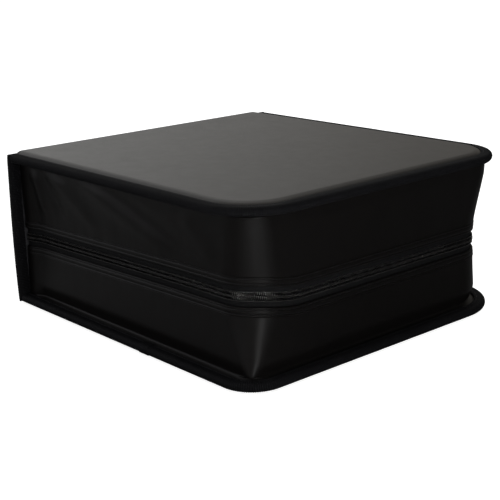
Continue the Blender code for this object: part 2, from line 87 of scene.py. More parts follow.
# Sizes of the layers, as in the frame
SKIN, TAPE, GUSSET, GAP = 1.0 * MM, 0.8 * MM, 1.0 * MM, 0.3 * MM
CAVITY_HALF = RIM_HALF - TAPE
FOLD_CLEAR = 0.35 * MM
EDGE_DEPTH = FOLD_DEPTH - CAVITY_HALF + GAP
SEAM_INSET, TAPE_WIDTH, ROLL_END = 3.0 * MM, 9.5 * MM, 16.5 * MM
TOP_CORNER, BOTTOM_CORNER = 48 * MM, 40 * MM
LOWER_NEAR, LOWER_FAR = 30 * MM, 54 * MM
WALL_START = X_FOLD + RIM_HALF + GAP
FLANGE_START, FLANGE_DEPTH = SEAM_INSET + 0.2 * MM, FOLD_DEPTH + 1.1 * MM
WALL_INSET, WAIST_INSET, WAIST_CORNER = 11.6 * MM, 16 * MM, 30 * MM
HEM, HALF_OPENING = 7 * MM, 8 * MM
ZIP_SPINE, ZIP_NEAR, ZIP_FAR = 61.5 * MM, 68 * MM, 62.5 * MM
ZIP_LEVEL_FROM = 0.1
COIL_INSET, COIL_Z = WAIST_INSET + 0.9 * MM, 1.7 * MM
TAPE_INSET, TAPE_EDGE, TAPE_BACK = WAIST_INSET + 1.5 * MM, 3.5 * MM, 14.5 * MM
CHAIN_FIN, SPLAY = 5.9 * MM, 1.2 * MM
CHAIN_REACH = math.hypot(24 * MM, ZIP_FAR + CHAIN_FIN - Z_LOW)
STITCH_INSET = 7.4 * MM
FLARE_INSET, FLARE_LENGTH, HEM_FLARE = 10.6 * MM, 20 * MM, 0.75
SPINE_BOW = 2.4 * MM
LOWER, UPPER = -1, 1
NEAR_TIGHT, FAR_TIGHT = {UPPER: 24 * MM, LOWER: 8 * MM}, {UPPER: 20 * MM, LOWER: 38 * MM}
TUCK = {UPPER: 0.8 * MM, LOWER: 2.6 * MM}
CONE_FROM = 12 * MM
RIM_CALM, CALM_FADE = 12 * MM, 30 * MM
TAPE_TURN, TAPE_MIDDLE, HALF_TAPE = 3.6 * MM, 5 * MM, 0.3 * MM
LAP_FROM, LAP_TO, LAP_STEP = 25 * MM, 37.5 * MM, 0.6 * MM
PAGE_CORNER = 15 * MM

# The hem's rows: millimetres past its start, and half thickness in millimetres; stitches lie in the creases
HEM_ROWS = (
    (-0.9, 0.5), (-0.3, 0.36), (0.0, 0.8), (0.5, 0.94), (1.1, 0.82), (1.5, 0.42), (1.9, 0.76), (2.8, 0.9),
    (3.8, 0.9), (4.7, 0.78), (5.1, 0.44), (5.5, 0.78), (6.1, 0.86), (6.6, 0.74), (6.9, 0.55), (7.0, 0.3),
)
CREASES = (0.42, 0.44)

# The camera's place, and its azimuth, elevation and roll in degrees
CAMERA_AT, CAMERA_TURN = (0.7333, -0.6416, 0.3284), (49.17, 15.95, -1.65)


# Settings

def colour_of(name, description, default):
    limits = {"subtype": "COLOR", "size": 3, "min": 0, "max": 1}
    return FloatVectorProperty(name=name, description=description, default=default, **limits)


def length_of(name, description, low, high, default):
    return FloatProperty(
        name=name, description=description, unit="LENGTH", min=low, max=high, default=default
    )


def power_of(name, description, default):
    limits = {"subtype": "POWER", "unit": "POWER", "min": 0, "max": 500}
    return FloatProperty(name=name, description=description, default=default, **limits)


class CaseLeatherSettings(bpy.types.PropertyGroup):
    cover: colour_of("Cover colour", "Colour of the covers and the spine", (0.0165, 0.015, 0.0135))
    # The gusset's colour is about seven times darker than the cover's: partly its black leather, partly
    # painted shade on the upright sides.
    gusset: colour_of("Gusset colour", "Colour of the soft leather round the zip", (0.0023, 0.0020, 0.0019))
    grain: length_of("Grain", "Width of one pebble of the grain", 0.0003, 0.005, 0.00095)
    crown: length_of("Unevenness", "How far the covers stray from flat", 0, 0.002, 0.00022)
    slack: FloatProperty(
        name="Slack", description="Share of the slack folds in the upper gusset", subtype="FACTOR", min=0,
        max=2, default=1.0
    )
    pucker: length_of("Pucker", "How far the gusset gathers along its seams", 0, 0.002, 0.00022)


class CaseTapeSettings(bpy.types.PropertyGroup):
    colour: colour_of("Tape colour", "Colour of the ribbed tape round the rims", (0.0024, 0.0024, 0.0028))
    rib: length_of("Rib spacing", "Distance between two ribs of the tape", 0.0005, 0.005, 0.0015)
    rib_depth: length_of("Rib depth", "How far a rib stands out", 0, 0.0005, 0.00014)
    lap: length_of("Lap", "Rise of the lapped end of the lower tape", 0, 0.0015, 0.0007)
    stitch: length_of("Stitch spacing", "Distance between two stitches", 0.001, 0.01, 0.0032)
    thread: length_of("Thread", "Thickness of the sewing thread", 0.0001, 0.001, 0.00042)


class CaseZipSettings(bpy.types.PropertyGroup):
    colour: colour_of("Coil colour", "Colour of the zip coil", (0.0013, 0.0012, 0.0013))
    metal: colour_of("Slider colour", "Colour of the enamelled slider and pull", (0.02, 0.02, 0.021))
    pitch: length_of("Coil spacing", "Distance between two turns of the coil", 0.0008, 0.004, 0.0015)
    wire: length_of("Wire", "Radius of the coil's wire", 0.0001, 0.001, 0.00036)


class CasePageSettings(bpy.types.PropertyGroup):
    sleeves: IntProperty(
        name="Sleeves", description="Number of sleeves in the stack", min=4, max=120, default=52
    )
    fleece: colour_of("Fleece colour", "Colour of the sleeves' soft backing", (0.72, 0.72, 0.70))
    lining: colour_of("Lining colour", "Colour of the cloth inside the covers", (0.016, 0.016, 0.018))


class CaseStageSettings(bpy.types.PropertyGroup):
    lens: FloatProperty(
        name="Lens", description="Focal length of the camera in millimetres", subtype="DISTANCE_CAMERA",
        min=20, max=300, default=82.09
    )
    floor: colour_of("Floor colour", "Colour of the pale floor", (0.58, 0.58, 0.58))
    ambient: FloatProperty(
        name="Room light", description="Strength of the even light from all round", min=0, max=3, default=0.4
    )
    key: power_of("Key light", "Power of the large overhead lamp", 15.0)
    pool: power_of("Floor light", "Power of the lamp that lights the floor by the near corner", 3.4)
    front: power_of("Front light", "Power of the narrow lamp in front of the near corner", 16.0)


# Node trees

def give(tree, socket, value):
    """Links another node's output to the socket, or sets a plain value."""
    if isinstance(value, bpy.types.NodeSocket):
        tree.links.new(value, socket)
    else:
        socket.default_value = value


def add_node(tree, kind, inputs=None, **attributes):
    """A node with its settings, and its inputs given as values or as other nodes' outputs."""
    made = tree.nodes.new(kind)
    for key, value in attributes.items():
        setattr(made, key, value)
    for key, value in (inputs or {}).items():
        give(tree, made.inputs[key], value)
    return made


def math_node(tree, operation, *values):
    return add_node(tree, "ShaderNodeMath", dict(enumerate(values)), operation=operation).outputs[0]


def times(tree, *values):
    return reduce(lambda a, b: math_node(tree, "MULTIPLY", a, b), values)


def plus(tree, *values):
    return reduce(lambda a, b: math_node(tree, "ADD", a, b), values)


def ramp(tree, value, low, high, out_low, out_high):
    inputs = {"Value": value, "From Min": low, "From Max": high, "To Min": out_low, "To Max": out_high}
    return add_node(tree, "ShaderNodeMapRange", inputs).outputs["Result"]


def mixed(tree, factor, first, second):
    return add_node(tree, "ShaderNodeMix", {0: factor, 6: first, 7: second}, data_type="RGBA").outputs[2]


def rgba(colour, gain=1.0):
    return (colour[0] * gain, colour[1] * gain, colour[2] * gain, 1.0)


def new_material(name, **fixed):
    """A material with these values on its shader's sockets; gives the material, its tree and its shader."""
    material = bpy.data.materials.new(name)
    material.use_nodes = True
    tree = material.node_tree
    shader = tree.nodes["Principled BSDF"]
    for key, value in fixed.items():
        shader.inputs[key.replace("_", " ")].default_value = value
    return material, tree, shader


def finish_material(made, colour, roughness, height, strength, distance):
    """Links the colour, the roughness and a bump of this height to the shader, and gives the material."""
    material, tree, shader = made
    bump = add_node(tree, "ShaderNodeBump", {"Strength": strength, "Distance": distance, "Height": height})
    for value, socket in ((colour, "Base Color"), (roughness, "Roughness"), (bump.outputs[0], "Normal")):
        give(tree, shader.inputs[socket], value)
    return material


def place(tree):
    return add_node(tree, "ShaderNodeTexCoord").outputs["Object"]


def clouds(tree, vector, scale, detail=3.0, roughness=0.5):
    inputs = {"Vector": vector, "Scale": scale, "Detail": detail, "Roughness": roughness}
    return add_node(tree, "ShaderNodeTexNoise", inputs).outputs[0]


def cloth_waves(tree, *pitches):
    """Sines along and across the piece's own UV map, one for each pitch."""
    cloth = add_node(tree, "ShaderNodeUVMap", uv_map="Cloth").outputs[0]
    parts = add_node(tree, "ShaderNodeSeparateXYZ", {0: cloth}).outputs
    return [
        math_node(tree, "SINE", times(tree, part, math.tau / pitch)) for part, pitch in zip(parts, pitches)
    ]


def leather(name, colour, grain, rough, strength, specular):
    """Coated leather: fine pebbles with painted shade in the creases between them, and a sheen that varies a
    little.
    """
    made = new_material(name, Specular_IOR_Level=specular)
    tree = made[1]
    at = place(tree)
    inputs = {"Vector": at, "Scale": 1 / grain, "Randomness": 0.9}
    pebbles = add_node(tree, "ShaderNodeTexVoronoi", inputs, feature="SMOOTH_F1").outputs["Distance"]
    fine = clouds(tree, at, 2.6 / grain, 2.0)
    height = plus(tree, times(tree, pebbles, -0.75), times(tree, fine, 0.5))
    tone = mixed(tree, clouds(tree, at, 22.0, 4.0), rgba(colour, 0.92), rgba(colour, 1.08))
    # Painted shade: the creases between the pebbles are darkened to 0.55 of the colour.
    tone = mixed(tree, ramp(tree, pebbles, 0.1, 0.75, 0.0, 0.55), tone, rgba(colour, 0.55))
    scuff = ramp(tree, clouds(tree, at, 95.0, 5.0, 0.65), 0.35, 0.75, rough - 0.012, rough + 0.018)
    return finish_material(made, tone, scuff, height, strength, 0.16 * MM)


def woven(name, colour, pitch_u, pitch_v, rough, strength, sheen, specular):
    """Cloth that follows its own UV map: threads both ways, with slubs."""
    made = new_material(name, Specular_IOR_Level=specular, Sheen_Weight=sheen, Sheen_Roughness=0.45)
    tree = made[1]
    cross = times(tree, *cloth_waves(tree, pitch_u, pitch_v))
    slub = clouds(tree, place(tree), 1900.0, 2.0)
    height = plus(tree, times(tree, cross, 0.5), times(tree, slub, 0.5))
    # Painted shade and highlight: the weave's dips are darkened and its crowns lightened, following the bump.
    tone = mixed(tree, ramp(tree, cross, -1.0, 1.0, 0.0, 1.0), rgba(colour, 0.7), rgba(colour, 1.25))
    tone = mixed(
        tree, ramp(tree, clouds(tree, place(tree), 60.0), 0.3, 0.7, 0.0, 0.5), tone, rgba(colour, 0.85)
    )
    return finish_material(
        made, tone, ramp(tree, slub, 0.2, 0.8, rough - 0.08, rough + 0.08), height, strength, 0.12 * MM
    )


def ribbed(name, colour, pitch, sheen):
    """Ribbed tape: ribs across it, fine threads in each rib."""
    made = new_material(name, Specular_IOR_Level=0.03, Sheen_Weight=sheen, Sheen_Roughness=0.35)
    tree = made[1]
    rib, thread = cloth_waves(tree, pitch, 0.55 * MM)
    slub = clouds(tree, place(tree), 2300.0, 2.0)
    height = plus(tree, times(tree, rib, 0.5), times(tree, thread, 0.12), times(tree, slub, 0.3))
    # Painted shade and highlight: the tape is dark between the ribs and light on their crowns, following the
    # bump.
    tone = mixed(tree, ramp(tree, rib, -1.0, 1.0, 0.0, 1.0), rgba(colour, 0.25), rgba(colour, 1.75))
    wear = ramp(tree, clouds(tree, place(tree), 45.0, 4.0), 0.45, 0.8, 0.0, 0.3)
    tone = mixed(tree, wear, tone, rgba(colour, 1.6))
    return finish_material(made, tone, ramp(tree, slub, 0.2, 0.8, 0.55, 0.72), height, 0.6, 0.14 * MM)


def enamel(name, colour, rough, scale, strength=0.08, specular=0.5, metallic=0.0, coat=0.0):
    """A hard finish: enamel, moulded plastic, thread or metal, with small wear marks."""
    made = new_material(
        name, Metallic=metallic, Coat_Weight=coat, Coat_Roughness=0.2, Specular_IOR_Level=specular
    )
    tree = made[1]
    at = place(tree)
    marks = clouds(tree, at, scale, 5.0, 0.6)
    drift = ramp(tree, clouds(tree, at, scale / 6, 3.0), 0.3, 0.7, 0.0, 1.0)
    tone = mixed(tree, drift, rgba(colour, 0.85), rgba(colour, 1.15))
    tone = mixed(tree, ramp(tree, marks, 0.66, 0.74, 0.0, 0.5), tone, rgba(colour, 1.9))
    return finish_material(
        made, tone, ramp(tree, marks, 0.3, 0.7, max(rough - 0.06, 0.05), rough + 0.08), marks, strength,
        0.1 * MM
    )


def fleece(name, colour):
    """Soft non-woven sheet with a stamped dot pattern."""
    made = new_material(name, Specular_IOR_Level=0.15, Sheen_Weight=0.15, Roughness=0.9)
    tree = made[1]
    at = place(tree)
    dots = add_node(
        tree, "ShaderNodeTexVoronoi", {"Vector": at, "Scale": 620.0, "Randomness": 0.15}
    ).outputs["Distance"]
    stamped = ramp(tree, dots, 0.12, 0.32, 0.0, 1.0)
    tone = mixed(tree, stamped, rgba(colour, 0.86), rgba(colour, 1.0))
    tone = mixed(tree, ramp(tree, clouds(tree, at, 30.0), 0.3, 0.7, 0.0, 0.6), tone, rgba(colour, 0.95))
    height = plus(tree, times(tree, stamped, 0.5), times(tree, clouds(tree, at, 1500.0, 4.0, 0.7), 0.35))
    return finish_material(made, tone, 0.88, height, 0.4, 0.2 * MM)


def film(name):
    """Clear soft film over the fleece, drawn as a thin glossy layer."""
    made = new_material(name, Specular_IOR_Level=0.5, Coat_Weight=0.6, Coat_Roughness=0.08, Alpha=0.32)
    waves = clouds(made[1], place(made[1]), 28.0, 3.0, 0.5)
    tone = mixed(made[1], waves, (0.74, 0.76, 0.78, 1), (0.84, 0.85, 0.86, 1))
    return finish_material(made, tone, 0.16, waves, 0.35, 1.2 * MM)


MATERIALS = {}


def material_of(name):
    """The finish with this name, made when it is first asked for."""
    if name not in MATERIALS:
        scene = bpy.context.scene
        hide, tape, zipper, pages = scene.case_leather, scene.case_tape, scene.case_zip, scene.case_pages
        maker, *values = {
            "Cover leather": (leather, hide.cover, hide.grain, 0.40, 0.45, 0.10),
            # Painted shade: the gusset's leather is darker than the cover's to match the shaded upright
            # sides.
            "Gusset leather": (leather, hide.gusset, hide.grain * 0.8, 0.41, 0.22, 0.05),
            "Ribbed tape": (ribbed, tape.colour, tape.rib, 0.008),
            "Sewing thread": (enamel, (0.006, 0.006, 0.007), 0.6, 1800.0, 0.3, 0.12),
            "Zip cloth": (woven, (0.003, 0.003, 0.0032), 1.1 * MM, 0.7 * MM, 0.78, 0.6, 0.0, 0.05),
            "Zip coil": (enamel, zipper.colour, 0.3, 500.0, 0.08, 0.03),
            # The zip's thread is lighter grey than the coil: real thread, with painted glints along the coil.
            "Zip thread": (enamel, (0.026, 0.025, 0.024), 0.32, 1800.0, 0.2, 0.2),
            "Black enamel": (enamel, zipper.metal, 0.28, 700.0, 0.12, 0.5, 0.0, 0.5),
            "Lining cloth": (woven, pages.lining, 1.1 * MM, 1.1 * MM, 0.8, 0.5, 0.08, 0.2),
            "Grey board": (enamel, (0.30, 0.27, 0.23), 0.9, 420.0, 0.3, 0.1),
            "Sleeve fleece": (fleece, pages.fleece),
            "Sleeve film": (film,),
            "Binder plastic": (enamel, (0.018, 0.018, 0.02), 0.5, 900.0, 0.25, 0.35),
            "Post metal": (enamel, (0.72, 0.72, 0.72), 0.3, 1200.0, 0.05, 0.5, 1.0),
        }[name]
        MATERIALS[name] = maker(name, *values)
    return MATERIALS[name]


# Meshes

def smooth(t):
    t = np.clip(t, 0.0, 1.0)
    return t * t * (3 - 2 * t)


def grid_faces(rows, columns, first=0):
    i, j = np.meshgrid(np.arange(rows - 1), np.arange(columns - 1), indexing="ij")
    a = first + i * columns + j
    return np.stack([a, a + columns, a + columns + 1, a + 1], -1).reshape(-1, 4)


def placed(name, data):
    """An object that holds this data, in the scene."""
    made = bpy.data.objects.new(name, data)
    bpy.context.scene.collection.objects.link(made)
    return made


def plain_mesh(source, name):
    """The evaluated mesh of the source object, which is then removed."""
    bpy.context.view_layer.update()
    mesh = bpy.data.meshes.new_from_object(source.evaluated_get(bpy.context.evaluated_depsgraph_get()))
    mesh.name = name
    bpy.data.objects.remove(source)
    return mesh


def shell(name, outer, inner, faces, uv, material, attributes=None):
    """A closed wall between two skins that share their faces, joined all round their open edge."""
    _, first, index = np.unique(
        np.round(outer / MERGE).astype(np.int64), axis=0, return_index=True, return_inverse=True
    )
    outer, inner, uv = outer[first], inner[first], uv[first]
    faces = index.reshape(-1)[faces]
    count = len(outer)
    ends = np.concatenate([np.stack([faces[:, k], faces[:, (k + 1) % 4]], -1) for k in range(4)])
    ends = ends[ends[:, 0] != ends[:, 1]]
    _, where, uses = np.unique(np.sort(ends, axis=1), axis=0, return_index=True, return_counts=True)
    edge = ends[where[uses == 1]]
    rim = np.stack([edge[:, 1], edge[:, 0], edge[:, 0] + count, edge[:, 1] + count], -1)
    every = np.concatenate([faces, faces[:, ::-1] + count, rim]).tolist()
    points, uv = np.concatenate([outer, inner]), np.concatenate([uv, uv])
    piece = new_piece(name, points, [tuple(dict.fromkeys(face)) for face in every], material, uv)
    for label, values in (attributes or {}).items():
        values = values[first]
        layer = piece.data.attributes.new(label, "FLOAT", "POINT")
        inside = values * 0 if label == "proud" else values
        layer.data.foreach_set("value", np.concatenate([values, inside]).astype(np.float32))
    return piece


def wall(name, skins, uv, material, attributes=None):
    """A closed wall between two grids of points."""
    outer, inner = (skin.reshape(-1, 3) for skin in skins)
    return shell(name, outer, inner, grid_faces(*skins[0].shape[:2]), uv.reshape(-1, 2), material, attributes)


def new_piece(name, points, faces, material, uv=None):
    """An object of these points and faces, facing out and shaded smooth."""
    mesh = bpy.data.meshes.new(name)
    mesh.from_pydata(np.asarray(points).tolist(), [], [face for face in faces if len(face) > 2])
    mesh.update()
    if uv is not None:
        layer = mesh.uv_layers.new(name="Cloth")
        corner = np.empty(len(mesh.loops), np.int32)
        mesh.loops.foreach_get("vertex_index", corner)
        layer.data.foreach_set("uv", np.asarray(uv)[corner].astype(np.float32).ravel())
    mesh.calc_loop_triangles()
    triangles = np.empty(len(mesh.loop_triangles) * 3, np.int32)
    mesh.loop_triangles.foreach_get("vertices", triangles)
    if np.linalg.det(np.asarray(points)[triangles.reshape(-1, 3)]).sum() < 0:
        mesh.flip_normals()
    mesh.shade_smooth()
    mesh.set_sharp_from_angle(angle=math.radians(38))
    mesh.materials.append(material_of(material))
    return placed(name, mesh)


def dress(piece, body, slot, *nodes):
    """Puts a piece on its body and hides the frame's nodes that it stands for."""
    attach(piece, body)
    if nodes:
        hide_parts(*nodes)
    return piece


def ripple(points, size, seed):
    """Even noise from -1 to 1 at these points, with features of this size."""
    flat = np.asarray(points).reshape(-1, 3) / size + seed * 7.3
    return np.array([noise.noise(Vector(p)) for p in flat]).reshape(np.asarray(points).shape[:-1])


# Path round the three open sides

def stations(side, corner, front):
    """Places along the U: 0 to 5, a whole number where each side or corner starts."""
    parts = [
        stretch + np.arange(count) / count
        for stretch, count in enumerate((side, corner, front, corner, side))
    ]
    return np.concatenate(parts + [[5.0]])[None, :]


def u_points(u, inset, radius, start):
    """x and y of the U at these stations, insets and corner radii."""
    stretch = np.minimum(np.floor(u), 4)
    f = u - stretch
    cx, cy = X_FRONT - inset - radius, HALF_W - inset - radius
    near, far = -math.pi / 2 * (1 - f), math.pi / 2 * f
    pick = [np.broadcast_to(stretch == k, np.broadcast(u, inset, radius, start).shape) for k in range(5)]
    near_turn, far_turn = ((cx + radius * np.cos(a), radius * np.sin(a)) for a in (near, far))
    x = np.select(
        pick,
        [start + (cx - start) * f, near_turn[0], X_FRONT - inset + 0 * f, far_turn[0], cx + (start - cx) * f]
    )
    y = np.select(
        pick,
        [
            inset - HALF_W + 0 * f, near_turn[1] - cy, -cy + 2 * cy * f, cy + far_turn[1],
            HALF_W - inset + 0 * f
        ]
    )
    return x, y


def zip_height(u):
    stretch = np.minimum(np.floor(u), 4)
    f = u - stretch
    rise = ZIP_SPINE + (ZIP_NEAR - ZIP_SPINE) * (0.6 * f + 0.4 * smooth(f))
    fallen = np.where(stretch == 1, smooth(f - 0.5), smooth(0.5 + 0.5 * f / ZIP_LEVEL_FROM))
    fall = ZIP_NEAR + (ZIP_FAR - ZIP_NEAR) * fallen
    return np.select([stretch == 0, stretch < 3], [rise, fall], ZIP_FAR)


def spine_flare(u):
    """1 where the gusset meets the spine's tape, falling to 0 a little way along the side."""
    reach = (X_FRONT - WAIST_INSET - WAIST_CORNER - WALL_START) * np.minimum(u, 5 - u)
    return 1 - smooth(reach / FLARE_LENGTH)


def run_of(x, y):
    """Distance along each row of a grid."""
    step = np.hypot(np.diff(x, axis=-1), np.diff(y, axis=-1))
    return np.concatenate([np.zeros(step.shape[:-1] + (1,)), np.cumsum(step, axis=-1)], axis=-1)


def corner_at(side, u):
    """The rim's corner radius; the lower cover's corners are not alike."""
    return TOP_CORNER + 0 * u if side == UPPER else LOWER_NEAR + (LOWER_FAR - LOWER_NEAR) * smooth(u - 2)


def fold_edge(radius, rise):
    rise = np.maximum(rise, 0.0)
    return X_FOLD + np.sqrt(np.maximum(radius * radius - rise * rise, 0.0))


def stacked(x, y, z):
    x, y, z = np.broadcast_arrays(x, y, z)
    return np.stack([x, y, z], -1)


# Covers

def roll_depth(inset):
    return EDGE_DEPTH * (1 - np.clip((inset - TAPE_WIDTH) / (ROLL_END - TAPE_WIDTH), 0, 1)) ** 2.6


def cover_points(side, deeper, u, insets, crown):
    """The rolled rim and the flat middle of one skin of a cover, as points and faces."""
    inset = insets[:, None]
    corner = corner_at(side, u)
    depth = roll_depth(inset)
    clear = np.maximum(FOLD_DEPTH - depth, RIM_HALF) + FOLD_CLEAR
    x, y = u_points(u, inset, corner - inset, fold_edge(clear, FOLD_DEPTH - depth - deeper))
    ring = stacked(x, y, HEIGHT - depth - deeper if side == UPPER else depth + deeper)
    edge = ring[-1]
    near, far = (int(np.argmin(abs(u[0] - middle))) for middle in (1.5, 3.5))
    bottom, top, right = edge[: near + 1], edge[far:][::-1], edge[near : far + 1]
    s = ((bottom[:, 0] - bottom[0, 0]) / (bottom[-1, 0] - bottom[0, 0]))[:, None, None]
    t = ((right[:, 1] - right[0, 1]) / (right[-1, 1] - right[0, 1]))[None, :, None]
    left = edge[0] + (edge[-1] - edge[0]) * t[0]
    middle = (1 - t) * bottom[:, None] + t * top[:, None] + (1 - s) * left[None] + s * right[None]
    middle -= (
        (1 - s) * (1 - t) * edge[0] + s * (1 - t) * right[0] + (1 - s) * t * edge[-1] + s * t * right[-1]
    )
    points = np.concatenate([ring.reshape(-1, 3), middle.reshape(-1, 3)])
    inner_faces = grid_faces(*middle.shape[:2], ring.shape[0] * ring.shape[1])[:, ::-1]
    from_rim = (HALF_W - abs(points[:, 1]), X_FRONT - points[:, 0], points[:, 0] - X_FOLD + 6 * MM)
    flat = reduce(np.minimum, [smooth((reach - RIM_CALM) / CALM_FADE) for reach in from_rim])
    ground = points * [1, 1, 0]
    wave = ripple(ground, 0.085, 3 + side) * 0.7 + ripple(ground, 0.03, 9 + side) * 0.3
    points[:, 2] += (wave - 0.45) * crown * flat * side
    return points, np.concatenate([grid_faces(*ring.shape[:2]), inner_faces])


def make_cover(name, side, body, node):
    crown = bpy.context.scene.case_leather.crown
    insets = np.concatenate([[SEAM_INSET, 6 * MM], np.linspace(TAPE_WIDTH, ROLL_END, 12)])
    (outer, faces), (inner, _) = (
        cover_points(side, deeper, stations(64, 26, 48), insets, crown) for deeper in (0.0, SKIN)
    )
    dress(shell(name, outer, inner, faces, outer[:, :2], "Cover leather"), body, "cover_pu", node)


def spine_bow(z):
    """How far the spine bellies out between its two folds."""
    return SPINE_BOW * np.sin(math.pi * np.clip((z - Z_LOW) / (Z_TOP - Z_LOW), 0, 1) ** 0.8)


def make_spine():
    """The spine's leather: bowed down the back, and rounded over both folds."""
    turns = np.radians(np.concatenate([np.linspace(45, 180, 28), -np.linspace(180, 45, 28)]))
    middles = np.where(turns > 0, Z_TOP, Z_LOW)
    insets = np.concatenate([[SEAM_INSET, 6 * MM], np.linspace(TAPE_WIDTH, ROLL_END, 10)])
    flat_end = HALF_W - ROLL_END - 4 * MM
    across = np.concatenate([insets - HALF_W, np.linspace(-flat_end, flat_end, 60), (HALF_W - insets)[::-1]])
    roll = roll_depth(insets)
    depth = np.concatenate([roll, np.zeros(60), roll[::-1]])
    fills = np.linspace(Z_TOP, Z_LOW, 42)[1:-1]
    skins = []
    for deeper in (0.0, SKIN):
        radius = FOLD_DEPTH - depth[:, None] - deeper
        x = X_FOLD + radius * np.cos(turns)
        z = middles + radius * np.sin(turns)
        x = np.concatenate([x[:, :28], np.repeat(X_FOLD - radius, 40, axis=1), x[:, 28:]], axis=1)
        z = np.concatenate([z[:, :28], np.repeat(fills[None], len(radius), axis=0), z[:, 28:]], axis=1)
        points = stacked(x - spine_bow(z), across[:, None], z)
        flat = smooth((HALF_W - RIM_CALM - abs(points[..., 1])) / CALM_FADE)
        flat = flat * smooth((HEIGHT / 2 - 8 * MM - abs(points[..., 2] - HEIGHT / 2)) / (25 * MM))
        wave = 0.4 - ripple(points * [0, 1, 1], 0.07, 5)
        points[..., 0] += wave * bpy.context.scene.case_leather.crown * flat
        skins.append(points)
    dress(wall("spine_leather", skins, skins[0][..., 1:], "Cover leather"), "spine", "cover_pu", "spine_skin")


# Bound rims

def tape_profile():
    """Outer and inner lines of the folded tape as (inset, rise), from selvedge to selvedge round the rim."""
    flats = np.array([TAPE_WIDTH, TAPE_WIDTH - 0.8 * MM, STITCH_INSET, 5.6 * MM])
    pressed = np.array([0.42, 0.06, 0.16, 0.0]) * MM
    turns = np.linspace(math.pi / 2, 0, 5)
    lines = []
    for half, radius, share in ((RIM_HALF, TAPE_TURN, 1.0), (CAVITY_HALF, TAPE_TURN - TAPE, 0.35)):
        flat = np.stack([flats, half - pressed * share], -1)
        turned = np.stack([TAPE_TURN - radius * np.cos(turns), half * np.sin(turns)], -1)
        line = np.concatenate([flat, turned])
        lines.append(np.concatenate([line, line[-2::-1] * [1, -1]]))
    return lines


def tape_on(name, skins, along, proud, body, node):
    """Closes a tape between its two skins, lifts its ribs and dresses it."""
    tape = bpy.context.scene.case_tape
    across = np.concatenate([[0], np.cumsum(np.hypot(*np.diff(tape_profile()[0], axis=0).T))])
    uv = np.stack(np.broadcast_arrays(along[None], across[:, None]), -1).reshape(-1, 2)
    plain = wall(name + "_plain", skins, uv, "Ribbed tape", {"along": uv[:, 0], "proud": proud.ravel()})
    group = bpy.data.node_groups.get("Tape ribs") or rib_tree()
    values = {"Pitch": tape.rib, "Depth": tape.rib_depth, "Material": material_of("Ribbed tape")}
    dress(grown(plain, name, group, values), body, "binding_tape", node)


def along_tape(step, corner):
    """Stations about this far apart along the rim."""
    lengths = (X_FRONT - corner - X_FOLD, (corner - TAPE_MIDDLE) * math.pi / 2, 2 * (HALF_W - corner))
    return stations(*(max(int(round(length / step)), 1) for length in lengths))


def tree_of(name, inputs):
    """An empty node group that takes a mesh and these named inputs."""
    group = bpy.data.node_groups.new(name, "GeometryNodeTree")
    group.interface.new_socket("Geometry", in_out="INPUT", socket_type="NodeSocketGeometry")
    for label, kind in inputs:
        group.interface.new_socket(label, in_out="INPUT", socket_type="NodeSocket" + kind)
    group.interface.new_socket("Geometry", in_out="OUTPUT", socket_type="NodeSocketGeometry")
    return group, group.nodes.new("NodeGroupInput").outputs


def end_tree(group, geometry, given):
    """Ends a group with Realize Instances and Set Material."""
    real = add_node(group, "GeometryNodeRealizeInstances", {0: geometry})
    painted = add_node(
        group, "GeometryNodeSetMaterial", {"Geometry": real.outputs[0], "Material": given["Material"]}
    )
    add_node(group, "NodeGroupOutput", {0: painted.outputs[0]})
    return group


def grown(source, name, group, values):
    """Runs a node group on the source object, which is then removed, and gives a plain object."""
    modifier = source.modifiers.new(group.name, "NODES")
    modifier.node_group = group
    for item in group.interface.items_tree:
        if item.item_type == "SOCKET" and item.in_out == "INPUT" and item.name in values:
            modifier[item.identifier] = values[item.name]
    mesh = plain_mesh(source, name)
    if None in list(mesh.materials) or not mesh.materials:
        mesh.materials.clear()
        mesh.materials.append(values["Material"])
    if not mesh.polygons:
        raise RuntimeError(f"{name} came out empty")
    return placed(name, mesh)


def named(group, label, kind):
    return add_node(
        group, "GeometryNodeInputNamedAttribute", {"Name": label}, data_type=kind
    ).outputs["Attribute"]


def scaled(group, vector, factor):
    return add_node(group, "ShaderNodeVectorMath", {0: vector, "Scale": factor}, operation="SCALE").outputs[0]


def moved(group, geometry, offset):
    return add_node(group, "GeometryNodeSetPosition", {"Geometry": geometry, "Offset": offset}).outputs[0]


def stepped(group, line, step):
    """The line as a curve with a point at each step."""
    curve = add_node(group, "GeometryNodeMeshToCurve", {0: line}).outputs[0]
    return add_node(
        group, "GeometryNodeResampleCurve", {"Curve": curve, "Length": step}, mode="LENGTH"
    ).outputs[0]


def rib_tree():
    """Lifts ribs out of a tape along its normals, one to each pitch of its length."""
    group, given = tree_of("Tape ribs", [("Pitch", "Float"), ("Depth", "Float"), ("Material", "Material")])
    turn = times(group, math_node(group, "DIVIDE", named(group, "along", "FLOAT"), given["Pitch"]), math.tau)
    lift = times(group, math_node(group, "SINE", turn), given["Depth"], named(group, "proud", "FLOAT"))
    normal = add_node(group, "GeometryNodeInputNormal").outputs[0]
    return end_tree(group, moved(group, given["Geometry"], scaled(group, normal, lift)), given)


